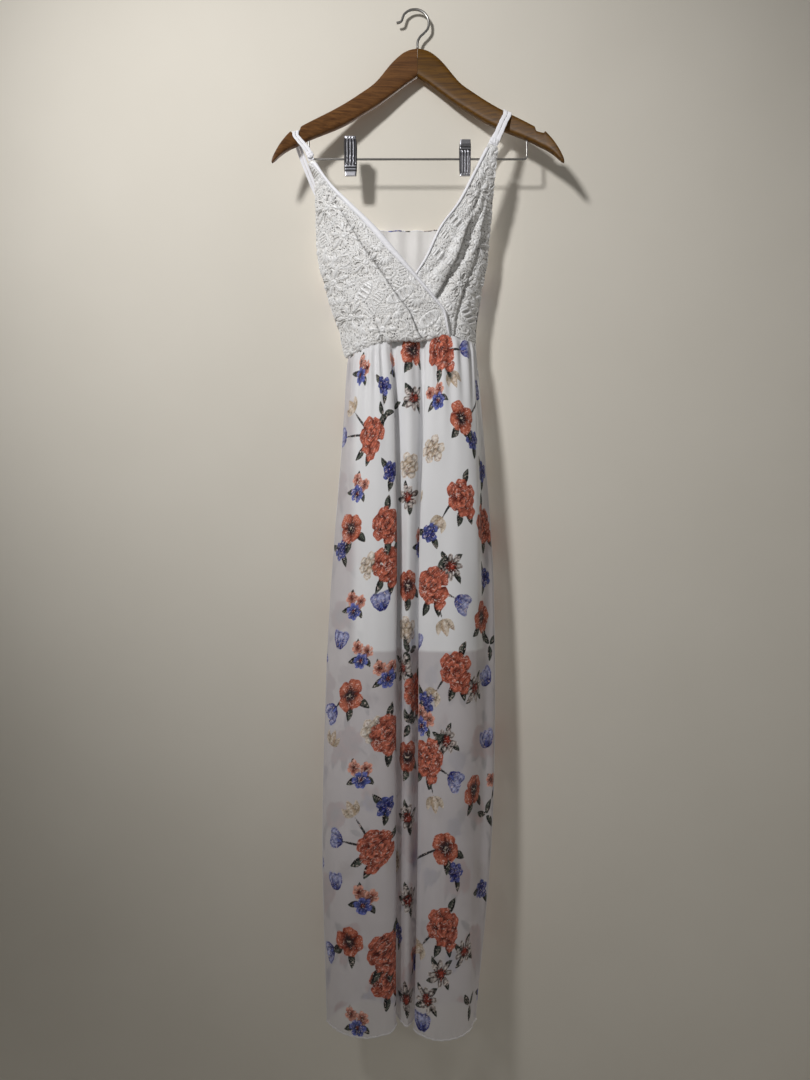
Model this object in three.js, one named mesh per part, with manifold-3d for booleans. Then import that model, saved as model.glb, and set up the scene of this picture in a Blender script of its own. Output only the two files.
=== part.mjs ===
// A sleeveless maxi dress on a contoured wooden clip hanger, modelled as cloth walls with open neck, armholes and hem.
// Millimetres, +Z up, the front faces -Y. The origin is the point of the hook that bears on the nail or rod.
import * as THREE from 'three';
import { mergeVertices } from 'three/addons/utils/BufferGeometryUtils.js';
import Module from 'manifold-3d';

const wasm = await Module();
wasm.setup();

// Cloth thicknesses and the gap that neighbouring pieces keep at a seam.
const SEAM_GAP = 0.4;
const WAIST_GAP = 0.7;
const CHIFFON_WALL = 1.2;
const SLIP_WALL = 1;
const LINING_WALL = 1;
const LACE_WALL = 1.2;
const BINDING_WALL = 1.2;
const BACK_WALL = 1.4;

// Heights of the dress below the bearing point.
const SLIP_HEM_Z = -975;
const SKIRT_LEVELS = [-520, -645, -900, -1250, -1545];

// Hanger sizes.
const HANGER_CENTRE_X = 4;
const HANGER_REACH = 217;
const HANGER_FORWARD = 44;
const HOOK_WIRE = 4;
const HOOK_RADIUS = 21.4;
const BAR_WIRE = 3.2;
const BAR_OUT = 164;
const BAR_Z = -239.6;
const BAR_BEND = 5;
const CLIP_GAP = 0.3;

const COLOURS = {
  chiffon: 0xdcdadb,
  slip: 0xe9e9ea,
  lace: 0xe6e3df,
  lining: 0xefeeee,
  binding: 0xf2f2f2,
  strap: 0xefefef,
  woodDark: 0x8a5f3c,
  woodLight: 0xa9763f,
  wire: 0xb9bcc0,
  clip: 0xc4c7cb,
};

const material = (color, roughness, metalness = 0) =>
  new THREE.MeshStandardMaterial({ color, roughness, metalness });

const dress = new THREE.Group();

function add(name, geometry, look) {
  const mesh = new THREE.Mesh(geometry, look);
  mesh.name = name;
  dress.add(mesh);
}

const mix = THREE.MathUtils.lerp;
const smooth = (from, to, x) => THREE.MathUtils.smoothstep(x, from, to);
const bell = (x, width) => Math.exp(-((x / width) ** 2));
const steps = (count, from = 0, to = 1) =>
  Array.from({ length: count + 1 }, (_, i) => mix(from, to, i / count));

// Walls. surface(u, v) gives a point, and the outward side is du x dv times turn. First and last rows are level.
function unitNormal(surface, u, v, turn) {
  const d = 1e-3;
  const du = surface(u + d, v).sub(surface(u - d, v));
  const dv = surface(u, v + d).sub(surface(u, v - d));
  return du.cross(dv).multiplyScalar(turn).normalize();
}

function wall(surface, us, vs, from, to, turn) {
  const across = us.length;
  const down = vs.length;
  const positions = [];
  for (const offset of [from, to]) {
    for (const v of vs) {
      for (const u of us) {
        const point = surface(u, v);
        const normal = unitNormal(surface, u, v, turn);
        if (v === vs[0] || v === vs[down - 1]) {
          normal.setZ(0).normalize();
        }
        point.addScaledVector(normal, offset);
        positions.push(point.x, point.y, point.z);
      }
    }
  }
  const at = (side, i, j) => side * across * down + j * across + i;
  const faces = [];
  const quad = (a, b, c, d) => {
    const corners = turn > 0 ? [a, b, c, a, c, d] : [a, c, b, a, d, c];
    faces.push(...corners);
  };
  for (let j = 0; j < down - 1; j++) {
    for (let i = 0; i < across - 1; i++) {
      quad(at(1, i, j), at(1, i + 1, j), at(1, i + 1, j + 1), at(1, i, j + 1));
      quad(at(0, i, j), at(0, i, j + 1), at(0, i + 1, j + 1), at(0, i + 1, j));
    }
  }
  for (let i = 0; i < across - 1; i++) {
    quad(at(0, i, 0), at(0, i + 1, 0), at(1, i + 1, 0), at(1, i, 0));
    quad(at(1, i, down - 1), at(1, i + 1, down - 1), at(0, i + 1, down - 1), at(0, i, down - 1));
  }
  for (let j = 0; j < down - 1; j++) {
    quad(at(1, 0, j), at(1, 0, j + 1), at(0, 0, j + 1), at(0, 0, j));
    quad(at(0, across - 1, j), at(0, across - 1, j + 1), at(1, across - 1, j + 1), at(1, across - 1, j));
  }
  const geometry = new THREE.BufferGeometry();
  geometry.setAttribute('position', new THREE.Float32BufferAttribute(positions, 3));
  geometry.setIndex(faces);
  return geometry;
}

// A closed loft through rings of the same number of points, capped at both ends.
function loft(rings) {
  const count = rings[0].length;
  const positions = rings.flat().flatMap((p) => [p.x, p.y, p.z]);
  const faces = [];
  for (let r = 0; r < rings.length - 1; r++) {
    for (let i = 0; i < count; i++) {
      const a = r * count + i;
      const b = r * count + ((i + 1) % count);
      faces.push(a, b, b + count, a, b + count, a + count);
    }
  }
  const last = (rings.length - 1) * count;
  for (let i = 1; i < count - 1; i++) {
    faces.push(0, i + 1, i, last, last + i, last + i + 1);
  }
  const geometry = new THREE.BufferGeometry();
  geometry.setAttribute('position', new THREE.Float32BufferAttribute(positions, 3));
  geometry.setIndex(faces);
  return geometry;
}

// Skirt. Each row is one fold line; x and y hold its place at the five levels from waist to hem, and hem its rise.
const FOLDS = [
  { name: 'left_edge', x: [-101, -110, -129, -141, -134], y: [0, 0, 2, 3, 0], hem: -4 },
  { name: 'left_shoulder', x: [-89, -98, -113, -123, -117], y: [-23, -27, -30, -32, -28], hem: -2 },
  { name: 'left_crest', x: [-64, -66, -72, -78, -76], y: [-36, -44, -49, -53, -50], hem: 0 },
  { name: 'left_inner', x: [-48, -42, -40, -40, -39], y: [-38, -46, -51, -53, -50], hem: 5 },
  { name: 'left_lip', x: [-39, -31, -29, -28, -28], y: [-36, -40, -43, -44, -43], hem: 13 },
  { name: 'left_crease', x: [-34, -34, -35, -35, -33], y: [-31, -22, -17, -15, -18], hem: 16 },
  { name: 'left_pocket', x: [-29, -28, -28, -28, -27], y: [-31, -20, -14, -12, -15], hem: 15 },
  { name: 'rib_left', x: [-23, -20, -20, -20, -20], y: [-36, -32, -28, -26, -28], hem: 13 },
  { name: 'rib_crest', x: [-11, -8, -11, -12, -13], y: [-39, -40, -38, -37, -38], hem: 10 },
  { name: 'rib_right', x: [2, 4, -3, -4, -6], y: [-36, -33, -29, -28, -29], hem: 9 },
  { name: 'right_pocket', x: [8, 10, 4, 3, 0], y: [-31, -20, -14, -12, -15], hem: 10 },
  { name: 'right_crease', x: [13, 16, 10, 9, 6], y: [-31, -22, -17, -15, -18], hem: 10 },
  { name: 'right_lip', x: [18, 13, 5, 4, 0], y: [-37, -42, -44, -46, -45], hem: 7 },
  { name: 'right_crest', x: [44, 46, 42, 40, 36], y: [-41, -50, -56, -59, -56], hem: 0 },
  { name: 'right_outer', x: [70, 73, 72, 67, 63], y: [-32, -46, -53, -55, -50], hem: -1 },
  { name: 'right_fold', x: [83, 89, 91, 85, 81], y: [-20, -35, -42, -42, -36], hem: 2 },
  { name: 'right_return', x: [89, 96, 104, 99, 86], y: [-10, -18, -19, -18, -17], hem: 3 },
  { name: 'right_edge', x: [92, 103, 120, 118, 92], y: [0, -2, 0, 2, 0], hem: 0 },
  { name: 'back_right_shoulder', x: [82, 92, 105, 104, 84], y: [19, 26, 34, 36, 27], hem: 0 },
  { name: 'back_right_lobe', x: [57, 60, 64, 62, 54], y: [28, 38, 47, 50, 43], hem: 0 },
  { name: 'back_right_crease', x: [33, 32, 33, 32, 30], y: [26, 22, 18, 16, 20], hem: 8 },
  { name: 'back_lobe', x: [4, 4, 3, 0, -1], y: [30, 39, 46, 50, 46], hem: 0 },
  { name: 'back_left_crease', x: [-27, -30, -34, -36, -34], y: [26, 23, 20, 19, 22], hem: 8 },
  { name: 'back_left_lobe', x: [-60, -66, -76, -82, -78], y: [28, 38, 47, 51, 46], hem: 0 },
  { name: 'back_left_shoulder', x: [-86, -95, -112, -120, -114], y: [19, 25, 31, 33, 28], hem: -2 },
];
// The slip's place on the same fold lines at its hem. It hangs narrower than the skirt and behind its creases.
const SLIP_HEM = [
  [-78, 0], [-72, -18], [-60, -34], [-50, -30], [-44, -20], [-36, -6], [-30, -5], [-20, -5], [-10, -4],
  [0, -4], [9, -4], [18, -4], [28, -20], [46, -40], [68, -38], [84, -28], [92, -16], [96, 0], [84, 16],
  [58, 26], [32, 11], [3, 24], [-28, 11], [-52, 25], [-68, 16],
].map(([x, y]) => ({ x, y }));
const RIGHT_SEAM = FOLDS.findIndex((fold) => fold.name === 'right_edge');
const LEFT_SEAM = FOLDS.length;

// The waist seam dips at the left side and rises right of the middle, where the wrap crosses.
const SEAM = { left: -532, middle: -516, right: -513, rise: 9, riseAt: 46, riseWidth: 22 };

function frontSeamZ(x) {
  const side = mix(SEAM.left, SEAM.middle, smooth(-101, -40, x));
  const dip = (SEAM.right - SEAM.middle) * smooth(60, 92, x);
  return side + dip + SEAM.rise * bell(x - SEAM.riseAt, SEAM.riseWidth);
}

function backSeamZ(x) {
  return mix(SEAM.left, SEAM.right, smooth(-101, 92, x));
}

// Smooth curve through five values, read at a height between the levels.
function atLevel(values, z) {
  const last = SKIRT_LEVELS.length - 2;
  const k = Math.min(last, Math.max(0, SKIRT_LEVELS.findIndex((level) => z > level) - 1));
  const low = z <= SKIRT_LEVELS[last + 1] ? last : k;
  const f = (z - SKIRT_LEVELS[low]) / (SKIRT_LEVELS[low + 1] - SKIRT_LEVELS[low]);
  const slope = (i) => {
    const a = Math.max(0, i - 1);
    const b = Math.min(values.length - 1, i + 1);
    const gap = SKIRT_LEVELS[low + 1] - SKIRT_LEVELS[low];
    return ((values[b] - values[a]) / (SKIRT_LEVELS[b] - SKIRT_LEVELS[a])) * gap;
  };
  const t = Math.min(1, Math.max(0, f));
  const h = t * t * (3 - 2 * t);
  const bend = t * (1 - t) * ((1 - t) * slope(low) - t * slope(low + 1));
  return mix(values[low], values[low + 1], h) + bend;
}

const ringCache = new Map();
function skirtRing(z) {
  if (!ringCache.has(z)) {
    const points = FOLDS.map((fold) => new THREE.Vector3(atLevel(fold.x, z), atLevel(fold.y, z), 0));
    ringCache.set(z, new THREE.CatmullRomCurve3(points, true, 'centripetal'));
  }
  return ringCache.get(z);
}

// fold counts the fold lines round the skirt, and drop runs from 0 at the waist seam to 1 at the hem.
function onSkirt(fold, drop) {
  const count = FOLDS.length;
  const turn = ((fold % count) + count) % count;
  const waist = skirtRing(SKIRT_LEVELS[0]).getPoint(turn / count);
  const seamZ = fold < RIGHT_SEAM ? frontSeamZ(waist.x) : backSeamZ(waist.x);
  const k = Math.floor(turn);
  const rise = mix(FOLDS[k].hem, FOLDS[(k + 1) % count].hem, smooth(0, 1, turn - k));
  const z = mix(seamZ, SKIRT_LEVELS[4] + rise, drop);
  const level = mix(SKIRT_LEVELS[0], SKIRT_LEVELS[4], drop);
  const point = skirtRing(level).getPoint(turn / count);
  return point.setZ(z);
}

// Gathers of the waist elastic push the cloth out in uneven waves that fade down the skirt and stop at its creases.
const GATHER = { perFold: 12 / 17, depth: 3.4, fade: 150, tall: 1030 };
const CREASES = [5.5, 10.5, 20, 22];

function gathered(fold, drop) {
  const fall = drop * GATHER.tall;
  const wave = 0.5 - 0.5 * Math.cos(2 * Math.PI * GATHER.perFold * fold);
  const uneven = 0.7 + 0.3 * Math.sin(fold * 2.3 + 1);
  const reach = GATHER.fade * (0.8 + 0.4 * Math.sin(fold * 1.7));
  const clear = CREASES.reduce((share, crease) => share * (1 - bell(fold - crease, 1.1)), 1);
  return GATHER.depth * wave * uneven * clear * Math.exp(-((fall / reach) ** 2));
}

// The outward normal of the smooth skirt carries the gathers.
function skirtSurface(fold, drop) {
  const base = onSkirt(fold, drop);
  return base.addScaledVector(unitNormal(onSkirt, fold, drop, -1), gathered(fold, drop));
}

const SKIRT_ROWS = [0, 0.014, 0.04, 0.08, 0.13, 0.19, 0.28, 0.4, 0.53, 0.66, 0.79, 0.91, 1];
const PER_FRONT_FOLD = 3;
const PER_BACK_FOLD = 4;
const SEAM_TRIM = 0.008;

const frontFolds = steps(RIGHT_SEAM * PER_FRONT_FOLD, SEAM_TRIM, RIGHT_SEAM - SEAM_TRIM);
const backFolds = steps((LEFT_SEAM - RIGHT_SEAM) * PER_BACK_FOLD, RIGHT_SEAM + SEAM_TRIM, LEFT_SEAM - SEAM_TRIM);
const chiffon = material(COLOURS.chiffon, 0.8);
add('skirt_front', wall(skirtSurface, frontFolds, SKIRT_ROWS, 0, CHIFFON_WALL, -1), chiffon);
add('skirt_back', wall(skirtSurface, backFolds, SKIRT_ROWS, 0, CHIFFON_WALL, -1), chiffon);

// Slip, the short white lining that ends above the knee. It leaves the seam under the skirt and hangs straight.
const slipCurve = new THREE.CatmullRomCurve3(
  SLIP_HEM.map(({ x, y }) => new THREE.Vector3(x, y, 0)),
  true,
  'centripetal',
);

function slipSurface(fold, drop) {
  const count = FOLDS.length;
  const turn = ((fold % count) + count) % count;
  const top = onSkirt(fold, 0);
  top.addScaledVector(unitNormal(onSkirt, fold, 0, -1), -SEAM_GAP - SLIP_WALL);
  const hem = slipCurve.getPoint(turn / count);
  const share = drop ** 0.55;
  return new THREE.Vector3(mix(top.x, hem.x, share), mix(top.y, hem.y, share), mix(top.z, SLIP_HEM_Z, drop));
}

const SLIP_ROWS = [0.002, 0.05, 0.14, 0.3, 0.55, 1];
const slipLook = material(COLOURS.slip, 0.75);
const slipFront = steps(RIGHT_SEAM * 2, SEAM_TRIM, RIGHT_SEAM - SEAM_TRIM);
const slipBack = steps((LEFT_SEAM - RIGHT_SEAM) * 2, RIGHT_SEAM + SEAM_TRIM, LEFT_SEAM - SEAM_TRIM);
add('slip_front', wall(slipSurface, slipFront, SLIP_ROWS, 0, SLIP_WALL, -1), slipLook);
add('slip_back', wall(slipSurface, slipBack, SLIP_ROWS, 0, SLIP_WALL, -1), slipLook);

// Bodice. A panel row holds its outer edge, which is armhole above the underarm and side seam below, and its neck edge.
const LEFT_PANEL = {
  rows: [
    { outer: [-158.5, -36, -250.5], neck: [-149.5, -38, -247.5] },
    { outer: [-150, -31, -267], neck: [-126, -45, -285] },
    { outer: [-149, -20, -305], neck: [-92, -51, -319] },
    { outer: [-149, -8, -345], neck: [-55, -54, -356] },
    { outer: [-146, -5, -387], neck: [-28, -55, -388] },
    { outer: [-138, -4, -417], neck: [-3, -55, -417] },
    { outer: [-127, -3, -458], neck: [28, -54, -453] },
    { outer: [-115, -2, -488], neck: [45, -51, -474] },
    { outer: [-101, -0.4, -531], neck: [54, -43, -506] },
  ],
  creases: [
    { uTop: 0.5, uBottom: 0.74, vTop: 0.16, vBottom: 1.1, width: 0.07, depth: 5 },
    { uTop: 0.7, uBottom: 0.86, vTop: 0.2, vBottom: 0.9, width: 0.09, depth: -2.5 },
    { uTop: 0.3, uBottom: 0.4, vTop: 0.5, vBottom: 1.1, width: 0.08, depth: 2.5 },
  ],
};
const RIGHT_PANEL = {
  rows: [
    { outer: [123, -35, -228], neck: [108.5, -37, -222] },
    { outer: [118, -31, -267], neck: [85, -42, -270] },
    { outer: [115, -20, -310], neck: [63, -43, -312] },
    { outer: [112.5, -8, -345], neck: [36, -43, -349] },
    { outer: [109, -5, -390], neck: [14, -42, -395] },
    { outer: [104, -4, -415], neck: [-1, -41, -419] },
    { outer: [98, -3, -445], neck: [-12, -40, -450] },
    { outer: [92, -2, -477], neck: [-18, -39, -480] },
    { outer: [92, -0.4, -512], neck: [-22, -37, -514] },
  ],
  creases: [
    { uTop: 0.4, uBottom: 0.8, vTop: 0.12, vBottom: 0.66, width: 0.08, depth: 5 },
    { uTop: 0.25, uBottom: 0.62, vTop: 0.2, vBottom: 0.86, width: 0.07, depth: 6 },
    { uTop: 0.5, uBottom: 0.7, vTop: 0.16, vBottom: 0.7, width: 0.08, depth: -4 },
    { uTop: 0.2, uBottom: 0.3, vTop: 0.4, vBottom: 1, width: 0.07, depth: 4 },
  ],
};
const UNDERARM_ROW = 3;

const edgeCurve = (rows, side) =>
  new THREE.CatmullRomCurve3(rows.map((row) => new THREE.Vector3(...row[side])), false, 'centripetal');

for (const panel of [LEFT_PANEL, RIGHT_PANEL]) {
  panel.outer = edgeCurve(panel.rows, 'outer');
  panel.neck = edgeCurve(panel.rows, 'neck');
}

// The power that rounds a panel out from its outer edge, flatter at the strap than at the waist.
const SWELL = { strap: 2.4, waist: 5.5 };

// The point of a panel at u from its outer edge to its neck edge and v from its strap to the waist seam.
function onPanel(panel, u, v) {
  const down = Math.min(1, Math.max(0, v));
  const outer = panel.outer.getPoint(down);
  const neck = panel.neck.getPoint(down);
  const point = outer.clone().lerp(neck, u);
  const fullness = mix(SWELL.strap, SWELL.waist, down ** 2);
  const swell = 1 - Math.max(0, 1 - u) ** fullness;
  point.y = mix(outer.y, neck.y, swell);
  for (const crease of panel.creases) {
    const along = (down - crease.vTop) / (crease.vBottom - crease.vTop);
    const strength = smooth(-0.05, 0.25, along) * (1 - smooth(0.75, 1.05, along));
    const middle = mix(crease.uTop, crease.uBottom, along);
    point.y += crease.depth * strength * bell(u - middle, crease.width);
  }
  const seamZ = frontSeamZ(point.x) + WAIST_GAP;
  point.z = mix(point.z, seamZ, smooth(0.86, 1, down));
  if (v < 0 || v > 1) {
    point.z += (down - v) * 200;
  }
  return point;
}

const leftPanel = (u, v) => onPanel(LEFT_PANEL, u, v);
const rightPanel = (u, v) => onPanel(RIGHT_PANEL, u, v);
const LEFT_TURN = -1;
const RIGHT_TURN = 1;
const PANEL_COLUMNS = steps(11);
const PANEL_ROWS = steps(12);
const liningLook = material(COLOURS.lining, 0.7);
add('front_lining_left', wall(leftPanel, PANEL_COLUMNS, PANEL_ROWS, 0, LINING_WALL, LEFT_TURN), liningLook);
add('front_lining_right', wall(rightPanel, PANEL_COLUMNS, PANEL_ROWS, 0, LINING_WALL, RIGHT_TURN), liningLook);

// Lace overlays. Their motifs are six-petalled flowers and barred leaves, and each gap over 4 mm is cut through.
const LACE_FROM = LINING_WALL + SEAM_GAP;
const LACE_TO = LACE_FROM + LACE_WALL;
const PETAL = { length: 10, width: 4.8, ring: 12.5, count: 6 };
const BAR_GAP = { length: 11, width: 4.4, pitch: 7 };
const LEFT_FLOWERS = [
  { x: -104, z: -362, turn: 0.2 },
  { x: -122, z: -424, turn: 0.7 },
  { x: -72, z: -404, turn: 0.1 },
  { x: -48, z: -500, turn: 0.5 },
  { x: -96, z: -478, turn: 0.4 },
  { x: -130, z: -318, turn: 0.3 },
];
const LEFT_LEAVES = [
  { x: -22, z: -452, turn: 0.5, bars: 4 },
  { x: 20, z: -486, turn: 0.7, bars: 3 },
  { x: -76, z: -447, turn: 0.9, bars: 3 },
];
const RIGHT_FLOWERS = [
  { x: 92, z: -298, turn: 0.3 },
  { x: 92, z: -366, turn: 0.6 },
  { x: 66, z: -430, turn: 0.1 },
];
const RIGHT_LEAVES = [
  { x: 60, z: -340, turn: 2.4, bars: 3 },
  { x: 40, z: -392, turn: 2.5, bars: 3 },
  { x: 80, z: -474, turn: 2.2, bars: 3 },
];

// A lens-shaped prism along Y, its long axis turned from +X in the XZ plane.
function lens(x, z, turn, length, width) {
  const shape = new THREE.Shape();
  const outline = [[-0.5, 0], [-0.22, -0.5], [0.22, -0.5], [0.5, 0], [0.22, 0.5], [-0.22, 0.5]];
  shape.setFromPoints(outline.map(([a, b]) => new THREE.Vector2(a * length, b * width)));
  const geometry = new THREE.ExtrudeGeometry(shape, { depth: 90, bevelEnabled: false });
  geometry.rotateZ(turn);
  geometry.rotateX(Math.PI / 2);
  geometry.translate(x, 10, z);
  return geometry;
}

function toManifold(geometry) {
  const bare = geometry.clone();
  bare.deleteAttribute('normal');
  bare.deleteAttribute('uv');
  const merged = mergeVertices(bare, 1e-4);
  const vertProperties = new Float32Array(merged.attributes.position.array);
  const triVerts = new Uint32Array(merged.index.array);
  return new wasm.Manifold(new wasm.Mesh({ numProp: 3, vertProperties, triVerts }));
}

function fromManifold(solid) {
  const mesh = solid.getMesh();
  const geometry = new THREE.BufferGeometry();
  geometry.setAttribute('position', new THREE.Float32BufferAttribute(mesh.vertProperties, 3));
  geometry.setIndex(Array.from(mesh.triVerts));
  return geometry;
}

function laceGaps(flowers, leaves) {
  const gaps = [];
  for (const flower of flowers) {
    for (let k = 0; k < PETAL.count; k++) {
      const angle = flower.turn + (k * 2 * Math.PI) / PETAL.count;
      const x = flower.x + PETAL.ring * Math.cos(angle);
      const z = flower.z + PETAL.ring * Math.sin(angle);
      gaps.push(lens(x, z, angle, PETAL.length, PETAL.width));
    }
  }
  for (const leaf of leaves) {
    for (let k = 0; k < leaf.bars; k++) {
      const along = (k - (leaf.bars - 1) / 2) * BAR_GAP.pitch;
      const x = leaf.x + along * Math.cos(leaf.turn);
      const z = leaf.z + along * Math.sin(leaf.turn);
      gaps.push(lens(x, z, leaf.turn + Math.PI / 2, BAR_GAP.length, BAR_GAP.width));
    }
  }
  return gaps;
}

function laceOverlay(surface, turn, flowers, leaves) {
  let lace = toManifold(wall(surface, PANEL_COLUMNS, PANEL_ROWS, LACE_FROM, LACE_TO, turn));
  for (const gap of laceGaps(flowers, leaves)) {
    lace = lace.subtract(toManifold(gap));
  }
  return fromManifold(lace);
}

const laceLook = material(COLOURS.lace, 0.8);
add('lace_left', laceOverlay(leftPanel, LEFT_TURN, LEFT_FLOWERS, LEFT_LEAVES), laceLook);
add('lace_right', laceOverlay(rightPanel, RIGHT_TURN, RIGHT_FLOWERS, RIGHT_LEAVES), laceLook);

// Neck bindings, bands applied over the edge of the lace. They narrow towards the crossing.
const BINDING_FROM = LACE_TO + 0.6;
const BINDING_TO = BINDING_FROM + BINDING_WALL;
const LEFT_BINDING = { top: 5, middle: 8, bottom: 4 };
const RIGHT_BINDING = { top: 5, middle: 4, bottom: 3 };

function binding(panel, width) {
  return (across, v) => {
    const down = Math.min(1, Math.max(0, v));
    const span = panel.outer.getPoint(down).distanceTo(panel.neck.getPoint(down));
    const half = down < 0.5 ? mix(width.top, width.middle, down * 2) : mix(width.middle, width.bottom, down * 2 - 1);
    return onPanel(panel, 1 - (1 - across) * (half / span), v);
  };
}

const bindingLook = material(COLOURS.binding, 0.6);
const BINDING_ROWS = steps(16, 0.02, 1);
const leftBinding = binding(LEFT_PANEL, LEFT_BINDING);
const rightBinding = binding(RIGHT_PANEL, RIGHT_BINDING);
add('neck_binding_left', wall(leftBinding, [0, 1], BINDING_ROWS, BINDING_FROM, BINDING_TO, LEFT_TURN), bindingLook);
const RIGHT_BINDING_END = 0.62;
const rightBindingRows = steps(12, 0.02, RIGHT_BINDING_END);
add('neck_binding_right', wall(rightBinding, [0, 1], rightBindingRows, BINDING_FROM, BINDING_TO, RIGHT_TURN), bindingLook);

// Back panel, gathered onto elastic, from side seam to side seam.
const BACK = { depth: 26, topRise: 14, gathers: 14, gatherDepth: 1.6, sideGap: 0.8 };

function backPanel(u, v) {
  const down = Math.min(1, Math.max(0, v));
  const first = UNDERARM_ROW / (LEFT_PANEL.rows.length - 1);
  const left = LEFT_PANEL.outer.getPoint(mix(first, 1, down));
  const right = RIGHT_PANEL.outer.getPoint(mix(first, 1, down));
  const share = 0.5 - 0.5 * Math.cos(Math.PI * Math.min(1, Math.max(0, u)));
  const hump = Math.sin(Math.PI * u) ** 0.9;
  const top = new THREE.Vector3(mix(left.x, right.x, share), mix(left.y, right.y, share), mix(left.z, right.z, share));
  top.y += BACK.depth * (u < 0 || u > 1 ? 0 : hump) + BACK.sideGap;
  top.z += BACK.topRise * smooth(0, 0.12, Math.min(u, 1 - u)) * (1 - down);
  const waist = onSkirt(LEFT_SEAM - u * (LEFT_SEAM - RIGHT_SEAM), 0);
  waist.z += SEAM_GAP;
  const point = top.lerp(waist, smooth(0.45, 1, down));
  point.y += BACK.gatherDepth * Math.sin(2 * Math.PI * BACK.gathers * u) * smooth(0, 0.1, Math.min(u, 1 - u)) * (1 - down);
  if (v < 0 || v > 1) {
    point.z += (down - v) * 200;
  }
  return point;
}

const BACK_TURN = 1;
const backColumns = steps(42, 0.004, 0.996);
const backLook = material(COLOURS.chiffon, 0.8);
add('bodice_back', wall(backPanel, backColumns, steps(5), 0, BACK_WALL, BACK_TURN), backLook);

// Straps. Two narrow ones lie side by side on each shoulder, from the front panel over the arm to the back panel.
const STRAP = { thick: 1.2, gap: 0.4 };
const LEFT_STRAPS = {
  width: 4.4,
  path: [
    { at: [-154.4, -38.4, -247.4], along: [0.93, -0.2, 0.33] },
    { at: [-159.5, -40.6, -234], along: [0.93, 0, 0.35] },
    { at: [-171.5, -41, -219], along: [0.88, 0.2, 0.38] },
    { at: [-177.8, -38.9, -210], along: [0.86, 0.29, 0.4] },
    { at: [-178, -37, -204], along: [0.86, 0.29, 0.4] },
    { at: [-178, -31, -200.9], along: [0.86, 0.29, 0.4] },
    { at: [-178, -25, -204], along: [0.86, 0.29, 0.4] },
    { at: [-177.8, -22.9, -210], along: [0.86, 0.29, 0.4] },
    { at: [-172, -17, -229], along: [0.9, 0, 0.3] },
    { at: [-150, -4, -282], along: [0.95, 0.1, 0.25] },
    { at: [-124, 12, -329.5], along: [0.93, 0.3, 0.15] },
  ],
};
const RIGHT_STRAPS = {
  width: 6,
  path: [
    { at: [116.2, -37.6, -224], along: [0.92, -0.1, -0.4] },
    { at: [124, -35, -206], along: [0.92, -0.1, -0.4] },
    { at: [133, -30, -184], along: [0.88, -0.15, -0.46] },
    { at: [138.2, -25.8, -173], along: [0.8, -0.2, -0.56] },
    { at: [139, -23.3, -167], along: [0.8, -0.2, -0.56] },
    { at: [139.2, -17, -164.2], along: [0.8, -0.2, -0.56] },
    { at: [139, -10.7, -167], along: [0.8, -0.2, -0.56] },
    { at: [138.2, -8.3, -173], along: [0.8, -0.2, -0.56] },
    { at: [119, -1, -204], along: [0.9, 0, -0.2] },
    { at: [104, 5, -238], along: [0.95, 0.05, 0] },
    { at: [94, 16.5, -330], along: [0.95, -0.2, 0] },
  ],
};

// A flat ribbon beside the path; side is -1 or 1 for the outer or inner one of a pair.
function ribbon(strap, side) {
  const curve = new THREE.CatmullRomCurve3(strap.path.map((row) => new THREE.Vector3(...row.at)), false, 'centripetal');
  const last = strap.path.length - 1;
  const rings = steps(last * 2).map((t) => {
    const centre = curve.getPoint(t);
    const tangent = curve.getTangent(t);
    const k = Math.min(last - 1, Math.floor(t * last));
    const along = new THREE.Vector3(...strap.path[k].along);
    along.lerp(new THREE.Vector3(...strap.path[k + 1].along), t * last - k);
    along.addScaledVector(tangent, -along.dot(tangent)).normalize();
    const out = new THREE.Vector3().crossVectors(tangent, along);
    centre.addScaledVector(along, (side * (strap.width + STRAP.gap)) / 2);
    const corners = [[-1, -1], [1, -1], [1, 1], [-1, 1]];
    return corners.map(([a, b]) =>
      centre.clone().addScaledVector(along, (a * strap.width) / 2).addScaledVector(out, (b * STRAP.thick) / 2),
    );
  });
  return loft(rings);
}

const strapLook = material(COLOURS.strap, 0.6);
add('strap_left_outer', ribbon(LEFT_STRAPS, -1), strapLook);
add('strap_left_inner', ribbon(LEFT_STRAPS, 1), strapLook);
add('strap_right_inner', ribbon(RIGHT_STRAPS, -1), strapLook);
add('strap_right_outer', ribbon(RIGHT_STRAPS, 1), strapLook);

// Hanger arms. Each row is a section at a distance out from the middle, and the notch lies between 176 and 188.
const ARM = [
  { out: 0.2, top: -58, bottom: -101.6, thick: 13 },
  { out: 14, top: -60, bottom: -111, thick: 13 },
  { out: 27, top: -68, bottom: -121, thick: 13 },
  { out: 42, top: -84, bottom: -133, thick: 13 },
  { out: 56, top: -104, bottom: -144, thick: 13 },
  { out: 67, top: -117, bottom: -152, thick: 13 },
  { out: 82, top: -128, bottom: -162, thick: 13 },
  { out: 105, top: -146, bottom: -179, thick: 13 },
  { out: 128, top: -162, bottom: -192, thick: 13 },
  { out: 150, top: -176, bottom: -203, thick: 13 },
  { out: 175, top: -193, bottom: -218, thick: 12 },
  { out: 176, top: -200, bottom: -219, thick: 12 },
  { out: 188, top: -205.5, bottom: -227, thick: 12 },
  { out: 189, top: -202, bottom: -228, thick: 12 },
  { out: 201, top: -217, bottom: -237, thick: 11 },
  { out: 210, top: -233, bottom: -248, thick: 9 },
  { out: 217, top: -249, bottom: -256, thick: 5 },
];
const forward = (out) => HANGER_FORWARD * (out / HANGER_REACH) ** 2;

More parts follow.
